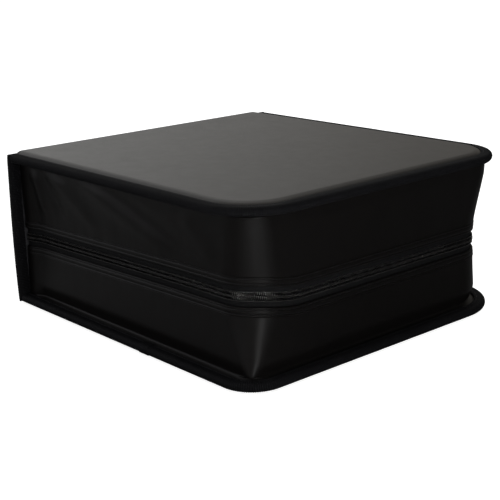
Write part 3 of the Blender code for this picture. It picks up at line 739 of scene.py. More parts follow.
def make_rim(name, side, corner, body, node, lapped):
    """The tape round one cover; on the lower cover one end laps over the other."""
    tape = bpy.context.scene.case_tape
    u = along_tape(tape.rib / 4, corner)
    corner = corner_at(side, u)
    x_ref, y_ref = u_points(u, np.array([[TAPE_MIDDLE]]), corner - TAPE_MIDDLE, X_FOLD)
    along = run_of(x_ref, y_ref)[0]
    lap = np.zeros(u.shape[1])
    if lapped:
        here = np.where(u[0] < 1, x_ref[0], 1.0)
        lap = smooth((here - LAP_FROM) / LAP_STEP) * smooth((LAP_TO - here) / LAP_STEP) * tape.lap
    wave = ripple(np.stack([along, along * 0, along * 0], -1), 0.022, 4 + side)[None] * 0.07 * MM
    skins = []
    for share, line in zip((0.9, 0.0), tape_profile()):
        inset, up = line[:, :1], line[:, 1:]
        x, y = u_points(u, inset, corner - inset, fold_edge(RIM_HALF + FOLD_CLEAR, side * up))
        rise = (lap[None] * share + wave) * up / RIM_HALF
        skins.append(stacked(x, y, (Z_TOP if side == UPPER else Z_LOW) + up + rise))
    proud = np.ones(skins[0].shape[:2])
    proud[[0, -1]] = 0.4
    tape_on(name, skins, along, proud, body, node)


def make_spine_rims():
    """The tapes on the spine's two ends, rounded at the folds, at the top most of all on the outer half."""
    count = int(round((Z_TOP - Z_LOW) / (bpy.context.scene.case_tape.rib / 4)))
    ends = RIM_HALF * np.sin(np.linspace(1.45, 0, 10))
    z = np.concatenate([Z_TOP + ends, np.linspace(Z_TOP, Z_LOW, count)[1:-1], Z_LOW - ends[::-1]])
    up = np.concatenate([ends, np.zeros(count - 2), ends[::-1]])
    width = np.sqrt(np.maximum(1 - (up / RIM_HALF) ** 2, 0.02))
    turn_in = np.clip((z - Z_TOP + 5 * MM) / (8.5 * MM), 0, 1)
    round_off = 1 - 0.9 * (1 - np.sqrt(1 - turn_in**2))
    for side, which in ((-1, "near"), (1, "far")):
        skins = []
        for line in tape_profile():
            out = line[:, 1:]
            rise = np.where(out > 0, out * round_off[None], out)
            x = X_FOLD - spine_bow(z)[None] * (0.5 + 0.5 * out / RIM_HALF) - rise * width[None]
            skins.append(stacked(x, side * (HALF_W - line[:, :1]), z[None]))
        proud = np.ones(skins[0].shape[:2])
        tape_on(f"spine_rim_{which}", skins, Z_TOP - z, proud, "spine", f"spine_binding_{which}")


# Gusset

FOLDS = [
    ((22, -12), (34, -58), 1.5, 6.0),
    ((30, -10), (62, -52), -1.3, 7.0),
    ((44, -9), (108, -50), 1.4, 8.0),
    ((100, -14), (205, -50), 1.9, 9.0),
    ((128, -10), (232, -44), -1.3, 9.0),
    ((236, -20), (262, -46), 0.9, 9.0),
]


def slack(u, x, z):
    """How far the upper gusset stands out here, none at its seam and little at its hem."""
    a, b = (x - X_FOLD) / MM, (z - HEIGHT) / MM
    total = np.zeros(np.broadcast(a, b).shape)
    for (x0, z0), (x1, z1), rise, width in FOLDS:
        dx, dz = x1 - x0, z1 - z0
        t = ((a - x0) * dx + (b - z0) * dz) / (dx * dx + dz * dz)
        away = np.hypot(a - x0 - dx * t, b - z0 - dz * t)
        total += rise * np.exp(-((away / width) ** 2)) * smooth((t + 0.25) / 0.45) * smooth((1.25 - t) / 0.45)
    seam = smooth((-b - 8) / 14) * (1 - 0.75 * smooth((-b - 44) / 14))
    share = np.select([u < 1, u >= 4], [1.0, 0.6], 0.0)
    return total * MM * seam * share


def gusset_rows(depth):
    """Rows of the gusset from flange to hem: inset, depth, half thickness in mm and share of the waist."""
    bend = FLANGE_DEPTH + 4.6 * GUSSET
    flange_end = TAPE_WIDTH - GUSSET / 2

    def part_at(d):
        return smooth(d / depth) * 0.6 + 0.4 * d / depth

    def inset_of(part):
        return WALL_INSET + (WAIST_INSET - WALL_INSET) * part

    rows = [(e, FLANGE_DEPTH, 0.5, 0.0) for e in np.linspace(FLANGE_START, flange_end, 3)]
    for t in np.linspace(0, math.pi / 2, 15)[1:]:
        inset = flange_end + (inset_of(part_at(bend)) - flange_end) * math.sin(t)
        rows.append(
            (
                inset, FLANGE_DEPTH + (bend - FLANGE_DEPTH) * (1 - math.cos(t)), 0.5,
                part_at(bend) * (1 - math.cos(t))
            )
        )
    falls = [(bend + (depth - HEM - 0.7 * MM - bend) * f, 0.5) for f in np.linspace(0, 1, 30)[1:]]
    falls += [(depth - HEM + back * MM, half) for back, half in HEM_ROWS]
    rows += [(inset_of(part_at(d)), d, half, part_at(d)) for d, half in falls]
    return (np.array([np.broadcast_to(row[k], depth.shape)[0] for row in rows]) for k in range(4))


def gusset_skins(side, corner, u):
    """Outer and inner skins of the gusset, its run and its depth."""
    settings = bpy.context.scene.case_leather
    edge = HEIGHT if side == UPPER else 0.0
    depth = abs(edge - zip_height(u) - side * HALF_OPENING)
    inset, d, half, swell = gusset_rows(depth)
    half = half * MM
    z = edge - side * d
    de, dz = np.gradient(inset, axis=0), np.gradient(z, axis=0)
    size = np.hypot(de, dz)
    ne, nz = side * dz / size, -side * de / size
    tight = NEAR_TIGHT[side] + (FAR_TIGHT[side] - NEAR_TIGHT[side]) * smooth(u - 2)
    cone = tight + (WAIST_CORNER - tight) * np.clip((d - CONE_FROM) / (depth - HEM - CONE_FROM), 0, 1)
    beyond_seam = smooth((d - FLANGE_DEPTH - 2.6 * MM) / (1.7 * MM))
    radius = (corner - inset) * (1 - beyond_seam) + cone * beyond_seam
    tuck = TUCK[side] * (1 - smooth((d - FLANGE_DEPTH - 2 * MM) / (13 * MM)))
    tuck = tuck * smooth((d - FLANGE_DEPTH) / (2.5 * MM)) * (1 - np.exp(-(((u - 1.5) / 0.45) ** 2)))
    flare = spine_flare(u)
    inset = inset + tuck * (1 - flare)
    hem_share = np.where(u < 2.5, HEM_FLARE, 0.0)
    inset = inset - np.maximum(inset - FLARE_INSET, 0) * flare * (1 + (hem_share - 1) * swell)
    x, y = u_points(u, inset, radius, WALL_START)
    away = d - FLANGE_DEPTH
    near_seam = np.exp(-away / (9 * MM)) * smooth(away / (3 * MM))
    near_hem = np.exp(-np.maximum(depth - HEM - d, 0) / (7 * MM)) * smooth((depth - d) / (6 * MM))
    body = smooth((away - 4.6 * GUSSET) / (12 * MM)) * smooth((depth - HEM + 2 * MM - d) / (10 * MM))
    run = run_of(x, y)
    flat = np.stack([run, 0.35 * z, 0 * run], -1)
    stand = settings.pucker * ripple(flat, 0.0085, 11 + side) * (near_seam + 0.8 * near_hem)
    uneven = ripple(flat, 0.038, 2 + side) * 0.75 + ripple(flat, 0.015, 6 + side) * 0.25
    stand += body * uneven * (0.55 if side == UPPER else 0.38) * MM
    if side == UPPER:
        stand = stand + slack(u, x, z) * settings.slack
    skins = []
    for sign in (1, -1):
        out = ne * (sign * half + stand)
        x, y = u_points(u, inset + out, radius - out, WALL_START)
        skins.append(stacked(x, y, z + nz * sign * half))
    return skins, run, d


def make_gusset(name, side, body, node):
    """One half of the gusset; gives the lines that its stitches follow, each with the way it faces."""
    u = stations(150, 36, 84)
    (outer, inner), run, d = gusset_skins(side, corner_at(side, u), u)
    if np.linalg.norm(outer[30, 20, :2]) < np.linalg.norm(inner[30, 20, :2]):
        outer, inner = inner, outer
    dress(wall(name, (outer, inner), np.stack([run, d], -1), "Gusset leather"), body, "gusset_pu", node)
    sewn = [len(outer) - len(HEM_ROWS) + k for k, (_, half) in enumerate(HEM_ROWS) if half in CREASES]
    return [(outer[row], outer[row] - inner[row]) for row in sewn]


# Stitches

def stitch_tree():
    """Lays one thread-shaped stitch on each step of a line, turned to the line and to its face."""
    group, given = tree_of("Stitches", [("Pitch", "Float"), ("Thread", "Float"), ("Material", "Material")])
    steps = stepped(group, given["Geometry"], given["Pitch"])
    tangent = add_node(group, "GeometryNodeInputTangent").outputs[0]
    turn = add_node(group, "FunctionNodeAlignRotationToVector", {"Vector": tangent}, axis="X").outputs[0]
    inputs = {"Rotation": turn, "Vector": named(group, "face", "FLOAT_VECTOR")}
    turn = add_node(group, "FunctionNodeAlignRotationToVector", inputs, axis="Z", pivot_axis="X").outputs[0]
    bead = add_node(group, "GeometryNodeMeshUVSphere", {"Segments": 6, "Rings": 5, "Radius": 1.0}).outputs[0]
    sizes = {
        0: times(group, given["Pitch"], 0.43), 1: times(group, given["Thread"], 0.6),
        2: times(group, given["Thread"], 0.5)
    }
    size = add_node(group, "ShaderNodeCombineXYZ", sizes).outputs[0]
    bead = add_node(group, "GeometryNodeTransform", {"Geometry": bead, "Scale": size}).outputs[0]
    laid = add_node(
        group, "GeometryNodeInstanceOnPoints", {"Points": steps, "Instance": bead, "Rotation": turn}
    )
    return end_tree(group, laid.outputs[0], given)


def lines_object(name, lines):
    """Open lines of points, each with the direction that its face looks."""
    points, faces = (np.concatenate([np.asarray(line[k]) for line in lines]) for k in (0, 1))
    faces /= np.maximum(np.linalg.norm(faces, axis=1, keepdims=True), 1e-12)
    edges, first = [], 0
    for line, _ in lines:
        edges += [(first + k, first + k + 1) for k in range(len(line) - 1)]
        first += len(line)
    mesh = bpy.data.meshes.new(name)
    mesh.from_pydata(points.tolist(), edges, [])
    layer = mesh.attributes.new("face", "FLOAT_VECTOR", "POINT")
    layer.data.foreach_set("vector", faces.astype(np.float32).ravel())
    return placed(name, mesh)


def sew(name, lines, body, pitch, thread, material="Sewing thread", slot="binding_tape"):
    group = bpy.data.node_groups.get("Stitches") or stitch_tree()
    values = {"Pitch": pitch, "Thread": thread, "Material": material_of(material)}
    piece = grown(lines_object(name + "_lines", lines), name, group, values)
    piece.data.shade_smooth()
    dress(piece, body, slot)


def rim_lines(side):
    """The rows of stitches along a rim's tape, above it and below it."""
    u = stations(60, 24, 40)
    lines = []
    for way in (1, -1):
        up = way * (RIM_HALF - 0.1 * MM)
        start = fold_edge(RIM_HALF + FOLD_CLEAR, np.array([[side * up]])) + 1.5 * MM
        x, y = u_points(u, np.array([[STITCH_INSET]]), corner_at(side, u) - STITCH_INSET, start)
        line = stacked(x, y, (Z_TOP if side == UPPER else Z_LOW) + up)[0]
        lines.append((line, np.tile([0.0, 0.0, way], (len(line), 1))))
    return lines


# Zip

def arc_x(reach, z):
    return X_FOLD + np.sqrt(np.maximum(reach * reach - (z - Z_LOW) ** 2, 0))


def zip_line(side, xs, held=False):
    """Axis of one half of the chain: round the U, then along side C to these places, or only its held end."""
    u = stations(100, 30, 60)
    u = u[:, u[0] < 4]
    flared = COIL_INSET - zip_flare(u)
    x, y = u_points(u, flared, WAIST_CORNER + WAIST_INSET - flared, WALL_START)
    parted = side == LOWER or held
    run = [(x, HALF_W - COIL_INSET, ZIP_FAR + side * (COIL_Z + (splay(x) if parted else 0.0))) for x in xs]
    line = np.array(run)
    if not held:
        line = np.concatenate([stacked(x, y, zip_height(u) + side * COIL_Z)[0], line])
    ways = np.gradient(line, axis=0)
    return line, np.stack([ways[:, 1], -ways[:, 0], 0 * ways[:, 0]], -1)


def zip_flare(u):
    """How far the zip follows the hem outwards beside the spine, on side A only."""
    return np.where(u < 2.5, HEM_FLARE * (WAIST_INSET - FLARE_INSET) * spine_flare(u), 0.0)


def splay(x):
    return SPLAY * (1 - smooth((x - X_FOLD - 8 * MM) / (6 * MM)))


def coil_tree():
    """Winds a wire round a line, flattened, one turn to each pitch."""
    sizes = [(label, "Float") for label in ("Pitch", "Wire", "Depth", "Reach", "Phase")]
    group, given = tree_of("Zip coil", sizes + [("Material", "Material")])
    steps = stepped(group, given["Geometry"], math_node(group, "DIVIDE", given["Pitch"], 9.0))
    gone = add_node(group, "GeometryNodeSplineParameter").outputs["Length"]
    angle = plus(
        group, times(group, math_node(group, "DIVIDE", gone, given["Pitch"]), math.tau), given["Phase"]
    )
    out = times(group, math_node(group, "COSINE", angle), given["Depth"])
    rise = times(group, math_node(group, "SINE", angle), given["Reach"])
    inputs = {0: scaled(group, named(group, "face", "FLOAT_VECTOR"), out)}
    inputs[1] = add_node(group, "ShaderNodeCombineXYZ", {2: rise}).outputs[0]
    offset = add_node(group, "ShaderNodeVectorMath", inputs, operation="ADD")
    wire = add_node(
        group, "GeometryNodeCurvePrimitiveCircle", {"Resolution": 5, "Radius": given["Wire"]}
    ).outputs[0]
    inputs = {"Curve": moved(group, steps, offset.outputs[0]), "Profile Curve": wire, "Fill Caps": True}
    return end_tree(group, add_node(group, "GeometryNodeCurveToMesh", inputs).outputs[0], given)


def wind(name, side, line, body, node):
    settings = bpy.context.scene.case_zip
    group = bpy.data.node_groups.get("Zip coil") or coil_tree()
    values = {
        "Pitch": settings.pitch,
        "Wire": settings.wire,
        "Depth": 0.95 * MM,
        "Reach": 1.6 * MM,
        "Phase": 0.0 if side == UPPER else math.pi,
        "Material": material_of("Zip coil"),
    }
    piece = grown(lines_object(name + "_line", [line]), name, group, values)
    piece.data.shade_smooth()
    dress(piece, body, "zip_coil", node)


def make_tape(name, side, body, node):
    """The woven tape behind the hem; by the slider it steps back from the chain."""
    u = stations(120, 30, 66)
    u = u[:, u[0] < 4]
    reach = CHAIN_REACH + FOLD_CLEAR
    if side == UPPER:
        step = CHAIN_FIN + GAP
        near, close = (arc_x(reach, ZIP_FAR + z) - X_FOLD for z in (TAPE_EDGE, step))
    else:
        step, near, close = TAPE_EDGE + SPLAY + 0.1 * MM, 15 * MM, 8.5 * MM
    bounds = (
        (X_FRONT - WAIST_INSET - WAIST_CORNER - X_FOLD, near + 0.4 * MM, 60), (near, close, 8),
        (close - 0.2 * MM, WALL_START - X_FOLD, 8)
    )
    runs = np.concatenate([np.linspace(*bound) for bound in bounds])
    if side == UPPER:
        edges = np.clip(np.sqrt(np.maximum(reach**2 - runs**2, 0)) + Z_LOW - ZIP_FAR, TAPE_EDGE, step)
    else:
        edges = TAPE_EDGE + (step - TAPE_EDGE) * np.clip((near - runs) / (near - close), 0, 1)
    rows = np.linspace(0, 1, 12)[:, None]
    skins = []
    for sign in (-1, 1):
        inset = TAPE_INSET + sign * HALF_TAPE
        flared = inset - zip_flare(u) + 0 * rows
        x, y = u_points(u, flared, WAIST_CORNER + WAIST_INSET - flared, WALL_START)
        first = stacked(x, y, zip_height(u) + side * (TAPE_EDGE + (TAPE_BACK - TAPE_EDGE) * rows))
        z = ZIP_FAR + side * (edges[None] + (TAPE_BACK - edges[None]) * rows)
        second = stacked(X_FOLD + runs[None] + 0 * rows, HALF_W - inset, z)
        skins.append(np.concatenate([first, second], axis=1))
    uv = np.stack([run_of(skins[0][..., 0], skins[0][..., 1]), skins[0][..., 2]], -1)
    dress(wall(name, skins, uv, "Zip cloth"), body, "zip_tape", node)


def make_chain_end_tape():
    """The strip of cloth on the held end of the upper chain."""
    rows = np.linspace(0, 1, 5)[:, None]
    x = np.linspace(WALL_START, float(arc_x(CHAIN_REACH, ZIP_FAR + CHAIN_FIN)), 24)[None]
    foot = COIL_Z + splay(x) + 0.6 * MM
    z = ZIP_FAR + foot + (CHAIN_FIN - foot) * rows
    skins = [stacked(x, HALF_W - TAPE_INSET - sign * HALF_TAPE, z) for sign in (-1, 1)]
    dress(wall("zip_chain_end_cloth", skins, skins[0][..., [0, 2]], "Zip cloth"), "base", "zip_tape")


def rounded_copy(node, name, width, segments, material, slot, body):
    """A node's shape with its edges rounded, made from a merged copy of its mesh."""
    shape = bmesh.new()
    shape.from_mesh(frame["nodes"][node].data)
    bmesh.ops.remove_doubles(shape, verts=shape.verts, dist=2e-6)
    bmesh.ops.dissolve_limit(shape, angle_limit=math.radians(2), verts=shape.verts, edges=shape.edges)
    mesh = bpy.data.meshes.new(name)
    shape.to_mesh(mesh)
    shape.free()
    source = placed(name + "_sharp", mesh)
    bevel = source.modifiers.new("Bevel", "BEVEL")
    bevel.width, bevel.segments = width, segments
    bevel.limit_method, bevel.angle_limit = "ANGLE", math.radians(30)
    result = plain_mesh(source, name)
    result.materials.clear()
    result.materials.append(material_of(material))
    result.shade_smooth()
    result.set_sharp_from_angle(angle=math.radians(40))
    dress(placed(name, result), body, slot, node)


# Pages

def leaf_tree():
    """Stacks copies of one sleeve, each shifted a little by chance."""
    inputs = [
        ("Count", "Int"), ("Spacing", "Float"), ("Shift", "Float"), ("Seed", "Int"), ("Material", "Material")
    ]
    group, given = tree_of("Sleeve stack", inputs)
    rise = add_node(group, "ShaderNodeCombineXYZ", {2: given["Spacing"]}).outputs[0]
    row = add_node(group, "GeometryNodeMeshLine", {"Count": given["Count"], "Offset": rise}).outputs[0]
    inputs = {0: (-1, -1, 0), 1: (0.4, 1, 0), "Seed": given["Seed"]}
    shift = add_node(group, "FunctionNodeRandomValue", inputs, data_type="FLOAT_VECTOR").outputs[0]
    points = moved(group, row, scaled(group, shift, given["Shift"]))
    laid = add_node(group, "GeometryNodeInstanceOnPoints", {"Points": points, "Instance": given["Geometry"]})
    return end_tree(group, laid.outputs[0], given)


def leaf_outline(low, high, corner, inset, count=7):
    x0, x1, y0, y1 = low[0] + inset, high[0] - inset, low[1] + inset, high[1] - inset
    r = corner - inset
    points = [(x0, y1), (x0, y0)]
    for cy, first in ((y0 + r, -90), (y1 - r, 0)):
        for k in range(count):
            a = math.radians(first + 90 * k / (count - 1))
            points.append((x1 - r + r * math.cos(a), cy + r * math.sin(a)))
    return points


def slab(name, rings, material):
    """A closed solid through rings of points with flat ends."""
    count = len(rings[0])
    points = [p for ring in rings for p in ring]
    faces = [tuple(range(count)), tuple((len(rings) - 1) * count + k for k in range(count))[::-1]]
    for r in range(len(rings) - 1):
        for k in range(count):
            m = (k + 1) % count
            faces.append((r * count + k, (r + 1) * count + k, (r + 1) * count + m, r * count + m))
    return new_piece(name, points, faces, material, [(p[0], p[1]) for p in points])


def make_sleeves():
    pages = bpy.context.scene.case_pages
    low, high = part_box("page_block")
    spacing = (high.z - low.z) / pages.sleeves
    thick = spacing * 0.72
    rings = []
    for z, inset in ((0.0, 0.9), (0.12, 0.25), (0.35, 0.0), (0.65, 0.0), (0.88, 0.25), (1.0, 0.9)):
        outline = leaf_outline(low, high, PAGE_CORNER, inset * MM + 0.6 * MM)
        rings.append([(x, y, low.z + z * thick) for x, y in outline])
    fleece_sheet = material_of("Sleeve fleece")
    values = {
        "Count": pages.sleeves, "Spacing": spacing, "Shift": 0.5 * MM, "Seed": 4, "Material": fleece_sheet
    }
    stack = grown(slab("leaf", rings, "Sleeve fleece"), "sleeves", leaf_tree(), values)
    stack.data.set_sharp_from_angle(angle=math.radians(50))
    dress(stack, "base", "sleeves", "page_block")
    make_pockets(low, high)


def make_pockets(low, high):
    """Clear pockets on the top sleeve: two by two, sealed along their edges, open towards the middle."""
    left, right = low.x + 26 * MM, high.x - 3 * MM
    middle_x, half, seam = (left + right) / 2, high.y - 3 * MM, 2 * MM
    side = 33
    s, t = np.linspace(0, 1, side)[:, None], np.linspace(0, 1, side)[None, :]
    puff = np.clip(np.sin(math.pi * s), 0, 1) ** 0.4 * np.clip(np.sin(math.pi * t), 0, 1) ** 0.4
    pieces = []
    for x0, x1 in ((left, middle_x - seam), (middle_x + seam, right)):
        for y0, y1 in ((-half, -seam), (seam, half)):
            grid = stacked(x0 + (x1 - x0) * s, y0 + (y1 - y0) * t, high.z - 0.55 * MM + 0.9 * MM * puff)
            grid[..., 2] += ripple(grid * [1, 1, 0], 0.045, 8) * 0.25 * MM * puff
            pieces.append(grid.reshape(-1, 3))
    points = np.concatenate(pieces)
    faces = np.concatenate([grid_faces(side, side, side * side * k) for k in range(4)])
    film_sheet = shell(
        "sleeve_pockets", points, points - [0, 0, 0.12 * MM], faces, points[:, :2], "Sleeve film"
    )
    dress(film_sheet, "base", "sleeves")


def make_lining(name, side, body, node):
    """Cloth glued inside a cover, with its rim under the tape."""
    low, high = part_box(node)
    u = stations(50, 22, 40)
    x, y = u_points(u, np.array([[SEAM_INSET]]), corner_at(side, u) - SEAM_INSET, low.x)
    edge = stacked(x, y, 0 * x)[0]
    steps = np.linspace(1, 0, 22)[:, None, None]
    centre = np.stack([np.clip(edge[:, 0], low.x, 0.05), edge[:, 1] * 0, edge[:, 0] * 0], -1)
    flat = centre + (edge - centre) * steps
    wave = ripple(flat, 0.05, 12) * 0.12 * MM * smooth((1 - steps[..., 0]) / 0.25) * -side
    skins = [
        flat + np.stack([0 * wave, 0 * wave, z + wave], -1)
        for z in ((high.z, low.z) if side == LOWER else (low.z, high.z))
    ]
    dress(wall(name, skins, skins[0][..., :2], "Lining cloth"), body, "lining", node)


def make_spine_lining():
    low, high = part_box("spine_lining")
    y, z = np.linspace(low.y, high.y, 80)[:, None], np.linspace(low.z, high.z, 40)[None, :]
    skins = [stacked(x, y, z) for x in (high.x, low.x)]
    dress(
        wall("spine_lining_cloth", skins, skins[0][..., 1:], "Lining cloth"), "spine", "lining",
        "spine_lining"
    )


# Operators

class CASE_OT_covers(bpy.types.Operator):
    """Makes the leather of both covers and of the spine"""

    bl_idname = "case.covers"
    bl_label = "Covers"

    def execute(self, context):
        make_cover("front_cover_leather", UPPER, "lid", "front_cover_skin")
        make_cover("back_cover_leather", LOWER, "base", "back_cover_skin")
        make_spine()
        return {"FINISHED"}


class CASE_OT_rims(bpy.types.Operator):
    """Makes the ribbed tape round the covers and on the spine's ends"""

    bl_idname = "case.rims"
    bl_label = "Edge tape"

    def execute(self, context):
        make_rim("front_rim_tape", UPPER, TOP_CORNER, "lid", "front_cover_binding", False)
        make_rim("back_rim_tape", LOWER, BOTTOM_CORNER, "base", "back_cover_binding", True)
        make_spine_rims()
        return {"FINISHED"}


class CASE_OT_gusset(bpy.types.Operator):
    """Makes both halves of the soft gusset, and every row of stitches"""

    bl_idname = "case.gusset"
    bl_label = "Gusset and stitches"

    def execute(self, context):
        tape = context.scene.case_tape
        for side, body, which in ((UPPER, "lid", "upper"), (LOWER, "base", "lower")):
            rows = make_gusset(f"{which}_gusset_leather", side, body, f"{which}_gusset")
            sew(f"{which}_stitches", rows + rim_lines(side), body, tape.stitch, tape.thread)
        return {"FINISHED"}


class CASE_OT_zip(bpy.types.Operator):
    """Makes the coils, the woven tapes, the slider and its pull"""

    bl_idname = "case.zip"
    bl_label = "Zip"

    def execute(self, context):
        stop = float(arc_x(CHAIN_REACH + FOLD_CLEAR, ZIP_FAR + COIL_Z)) + 1 * MM
        start = X_FRONT - WAIST_INSET - WAIST_CORNER
        upper = zip_line(UPPER, np.linspace(start, stop, 60))
        wind("zip_coil_upper_turns", UPPER, upper, "lid", "zip_coil_upper")
        parting = np.linspace(X_FOLD + 14 * MM, WALL_START, 16)
        lower = zip_line(LOWER, np.concatenate([np.linspace(start, X_FOLD + 15 * MM, 60), parting]))
        wind("zip_coil_lower_turns", LOWER, lower, "base", "zip_coil_lower")
        for (line, face), side, body, which in (
            (upper, UPPER, "lid", "upper"), (lower, LOWER, "base", "lower")
        ):
            # Two rows of thread on each coil; their light grey is painted highlight standing in for the
            # coil's glints.
            face = face / np.linalg.norm(face, axis=1, keepdims=True)
            places = ((1.0, 1.5), (1.35, -1.2))
            rows = [(line + face * out * MM + [0, 0, side * rise * MM], face) for out, rise in places]
            sew(
                f"zip_thread_{which}", rows, body, context.scene.case_zip.pitch, 0.42 * MM, "Zip thread",
                "zip_coil"
            )
        make_tape("zip_tape_upper_cloth", UPPER, "lid", "zip_tape_upper")
        make_tape("zip_tape_lower_cloth", LOWER, "base", "zip_tape_lower")
        end = float(arc_x(CHAIN_REACH, ZIP_FAR + COIL_Z)) - 0.5 * MM
        held = zip_line(UPPER, np.linspace(end, WALL_START + 0.6 * MM, 24), held=True)
        wind("zip_chain_end_turns", UPPER, held, "base", "zip_chain_end")
        make_chain_end_tape()
        rounded_copy("zip_slider", "slider_body", 0.25 * MM, 2, "Black enamel", "slider_metal", "slider")
        rounded_copy("zip_pull", "pull_tab", 0.3 * MM, 3, "Black enamel", "slider_metal", "pull")
        return {"FINISHED"}


class CASE_OT_inside(bpy.types.Operator):
    """Makes the linings, the sleeves with their pockets, and the binder"""

    bl_idname = "case.inside"
    bl_label = "Inside"

    def execute(self, context):
        make_lining("front_lining_cloth", UPPER, "lid", "front_cover_lining")
        make_lining("back_lining_cloth", LOWER, "base", "back_cover_lining")
        make_spine_lining()
        make_sleeves()
        rounded_copy(
            "binder_clamp_strip", "clamp_bar", 0.5 * MM, 3, "Binder plastic", "binder_plastic", "base"
        )
        for number in (1, 2, 3):
            rounded_copy(
                f"binder_post_{number}", f"post_{number}", 0.4 * MM, 3, "Post metal", "post_metal", "base"
            )
        for node in ("binder_base_strip", "front_cover_board", "back_cover_board", "spine_board"):
            mesh = frame["nodes"][node].data
            mesh.materials.clear()
            mesh.materials.append(material_of("Grey board" if node.endswith("board") else "Binder plastic"))
        return {"FINISHED"}


class CASE_OT_stage(bpy.types.Operator):
    """Makes the floor, the soft light and the camera"""

    bl_idname = "case.stage"
    bl_label = "Stage"

    def execute(self, context):
        stage = context.scene.case_stage
        scene = context.scene
        azimuth, elevation, roll = (math.radians(turn) for turn in CAMERA_TURN)
        side = Vector((math.cos(azimuth), math.sin(azimuth), 0))
        level = Vector((math.sin(azimuth), -math.cos(azimuth), 0))
        back = level * math.cos(elevation) + Vector((0, 0, math.sin(elevation)))
        rise = back.cross(side)
        right = side * math.cos(roll) + rise * math.sin(roll)
        up = rise * math.cos(roll) - side * math.sin(roll)
        data = bpy.data.cameras.new("Camera")
        data.lens, data.sensor_width, data.sensor_fit = stage.lens, 36, "HORIZONTAL"
        data.clip_start, data.clip_end = 0.05, 60
        camera = placed("Camera", data)
        camera.matrix_world = Matrix.Translation(CAMERA_AT) @ Matrix((right, up, back)).transposed().to_4x4()
        scene.camera = camera

        floor = new_piece("floor", *disc_points(12.0), "Binder plastic")
        material, tree, shader = new_material("Pale floor", Roughness=0.8, Specular_IOR_Level=0.0)
        seen = seen_directly(tree)
        camera_ray = add_node(tree, "ShaderNodeLightPath").outputs["Is Camera Ray"]
        across = dotted(tree, place(tree), side)
        # Painted reflection: only mirrored rays see the floor darken to 0.3 of its colour towards the
        # camera's right.
        mirrored = mixed(
            tree, ramp(tree, across, -0.10, 0.16, 0.0, 1.0), rgba(stage.floor, 1.0), rgba(stage.floor, 0.3)
        )
        glossy_ray = add_node(tree, "ShaderNodeLightPath").outputs["Is Glossy Ray"]
        grey = mixed(tree, glossy_ray, rgba(stage.floor), mirrored)
        glow = plus(tree, times(tree, seen, 0.06), times(tree, camera_ray, 0.82))
        for socket, value in (
            ("Base Color", grey), ("Emission Color", (1, 1, 1, 1)), ("Emission Strength", glow)
        ):
            give(tree, shader.inputs[socket], value)
        floor.data.materials[0] = material

        world = bpy.data.worlds.new("Room")
        world.use_nodes = True
        scene.world = world
        tree = world.node_tree
        seen = seen_directly(tree)
        background = tree.nodes["Background"]
        glossy_ray = add_node(tree, "ShaderNodeLightPath").outputs["Is Glossy Ray"]
        # Painted reflection: mirrored rays see a room bright on the camera's left, warm grey behind and dark
        # on its right; other rays see even white light.
        towards = dotted(tree, add_node(tree, "ShaderNodeTexCoord").outputs["Generated"], side)
        behind = mixed(
            tree, ramp(tree, towards, -0.2, 0.2, 0.0, 1.0), (1.28, 1.28, 1.26, 1), (0.38, 0.36, 0.325, 1)
        )
        left = mixed(tree, ramp(tree, towards, -0.7, -0.4, 0.0, 1.0), (1.9, 1.9, 1.98, 1), behind)
        mirrored = mixed(tree, ramp(tree, towards, 0.4, 0.7, 0.0, 1.0), left, (0.14, 0.14, 0.13, 1))
        give(tree, background.inputs["Color"], mixed(tree, glossy_ray, (1, 1, 1, 1), mirrored))
        give(tree, background.inputs["Strength"], ramp(tree, seen, 0.0, 1.0, stage.ambient, 1.0))

        add_lamp("key", (-0.5, 0.7, 1.9), (0, 0, 0.05), 1.7, 1.2, stage.key)
        add_lamp("front", (1.64, -0.50, 0.26), (0.13, -0.12, 0.06), 0.3, 0.5, stage.front)
        add_lamp(
            "pool", (0.40, -0.21, 0.5), (0.40, -0.21, 0), 0.2, 0.2, stage.pool
        ).data.spread = math.radians(40)

        scene.view_settings.view_transform = "Standard"
        return {"FINISHED"}


def disc_points(radius, sides=64):
    ring = [
        (radius * math.cos(math.tau * k / sides), radius * math.sin(math.tau * k / sides))
        for k in range(sides)
    ]
    points = [(x, y, -0.0004) for x, y in ring] + [(x, y, -0.02) for x, y in ring]
    faces = [tuple(range(sides)), tuple(range(2 * sides - 1, sides - 1, -1))]
    faces += [(k, k + sides, (k + 1) % sides + sides, (k + 1) % sides) for k in range(sides)]
    return points, faces


def dotted(tree, vector, way):
    return add_node(
        tree, "ShaderNodeVectorMath", {0: vector, 1: way}, operation="DOT_PRODUCT"
    ).outputs["Value"]


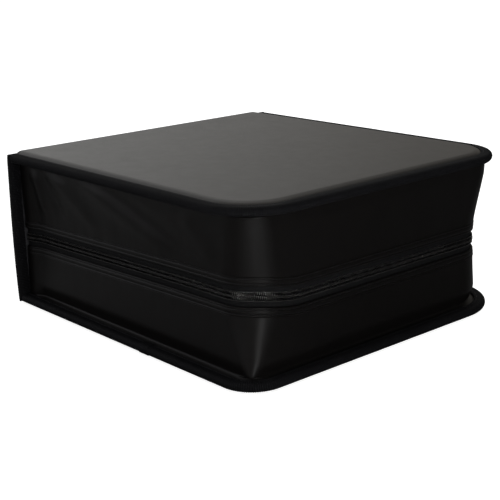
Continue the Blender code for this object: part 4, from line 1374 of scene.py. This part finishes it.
def seen_directly(tree):
    """1 for the camera, for mirrored light and for light through clear film; 0 for light on things."""
    path = add_node(tree, "ShaderNodeLightPath")
    most = math_node(tree, "MAXIMUM", path.outputs["Is Camera Ray"], path.outputs["Is Glossy Ray"])
    return math_node(tree, "MAXIMUM", most, path.outputs["Is Transmission Ray"])


def add_lamp(name, place_at, aim, width, height, power):
    data = bpy.data.lights.new(name, "AREA")
    data.shape, data.size, data.size_y, data.energy = "RECTANGLE", width, height, power
    lamp = placed(name, data)
    lamp.location = place_at
    lamp.rotation_euler = (Vector(aim) - Vector(place_at)).to_track_quat("-Z", "Y").to_euler()
    return lamp


class CASE_PT_panel(bpy.types.Panel):
    """Sizes, colours and steps of the storage case"""

    bl_idname = "CASE_PT_panel"
    bl_label = "Storage case"
    bl_space_type = "VIEW_3D"
    bl_region_type = "UI"
    bl_category = "Case"

    def draw(self, context):
        scene = context.scene
        for settings in (
            scene.case_leather, scene.case_tape, scene.case_zip, scene.case_pages, scene.case_stage
        ):
            box = self.layout.box()
            for name in settings.__annotations__:
                box.prop(settings, name)
        for operator in OPERATORS:
            self.layout.operator(operator.bl_idname)


GROUPS = {
    "case_leather": CaseLeatherSettings, "case_tape": CaseTapeSettings, "case_zip": CaseZipSettings,
    "case_pages": CasePageSettings, "case_stage": CaseStageSettings
}
OPERATORS = (CASE_OT_covers, CASE_OT_rims, CASE_OT_gusset, CASE_OT_zip, CASE_OT_inside, CASE_OT_stage)


def register():
    for each in (*GROUPS.values(), *OPERATORS, CASE_PT_panel):
        bpy.utils.register_class(each)
    for name, group in GROUPS.items():
        setattr(bpy.types.Scene, name, PointerProperty(type=group))


def unregister():
    for name in GROUPS:
        delattr(bpy.types.Scene, name)
    for each in reversed((*GROUPS.values(), *OPERATORS, CASE_PT_panel)):
        bpy.utils.unregister_class(each)


def main():
    register()
    bpy.ops.case.covers()
    bpy.ops.case.rims()
    bpy.ops.case.gusset()
    bpy.ops.case.zip()
    bpy.ops.case.inside()
    bpy.ops.case.stage()
    bpy.context.view_layer.update()


if __name__ == "__main__":
    main()
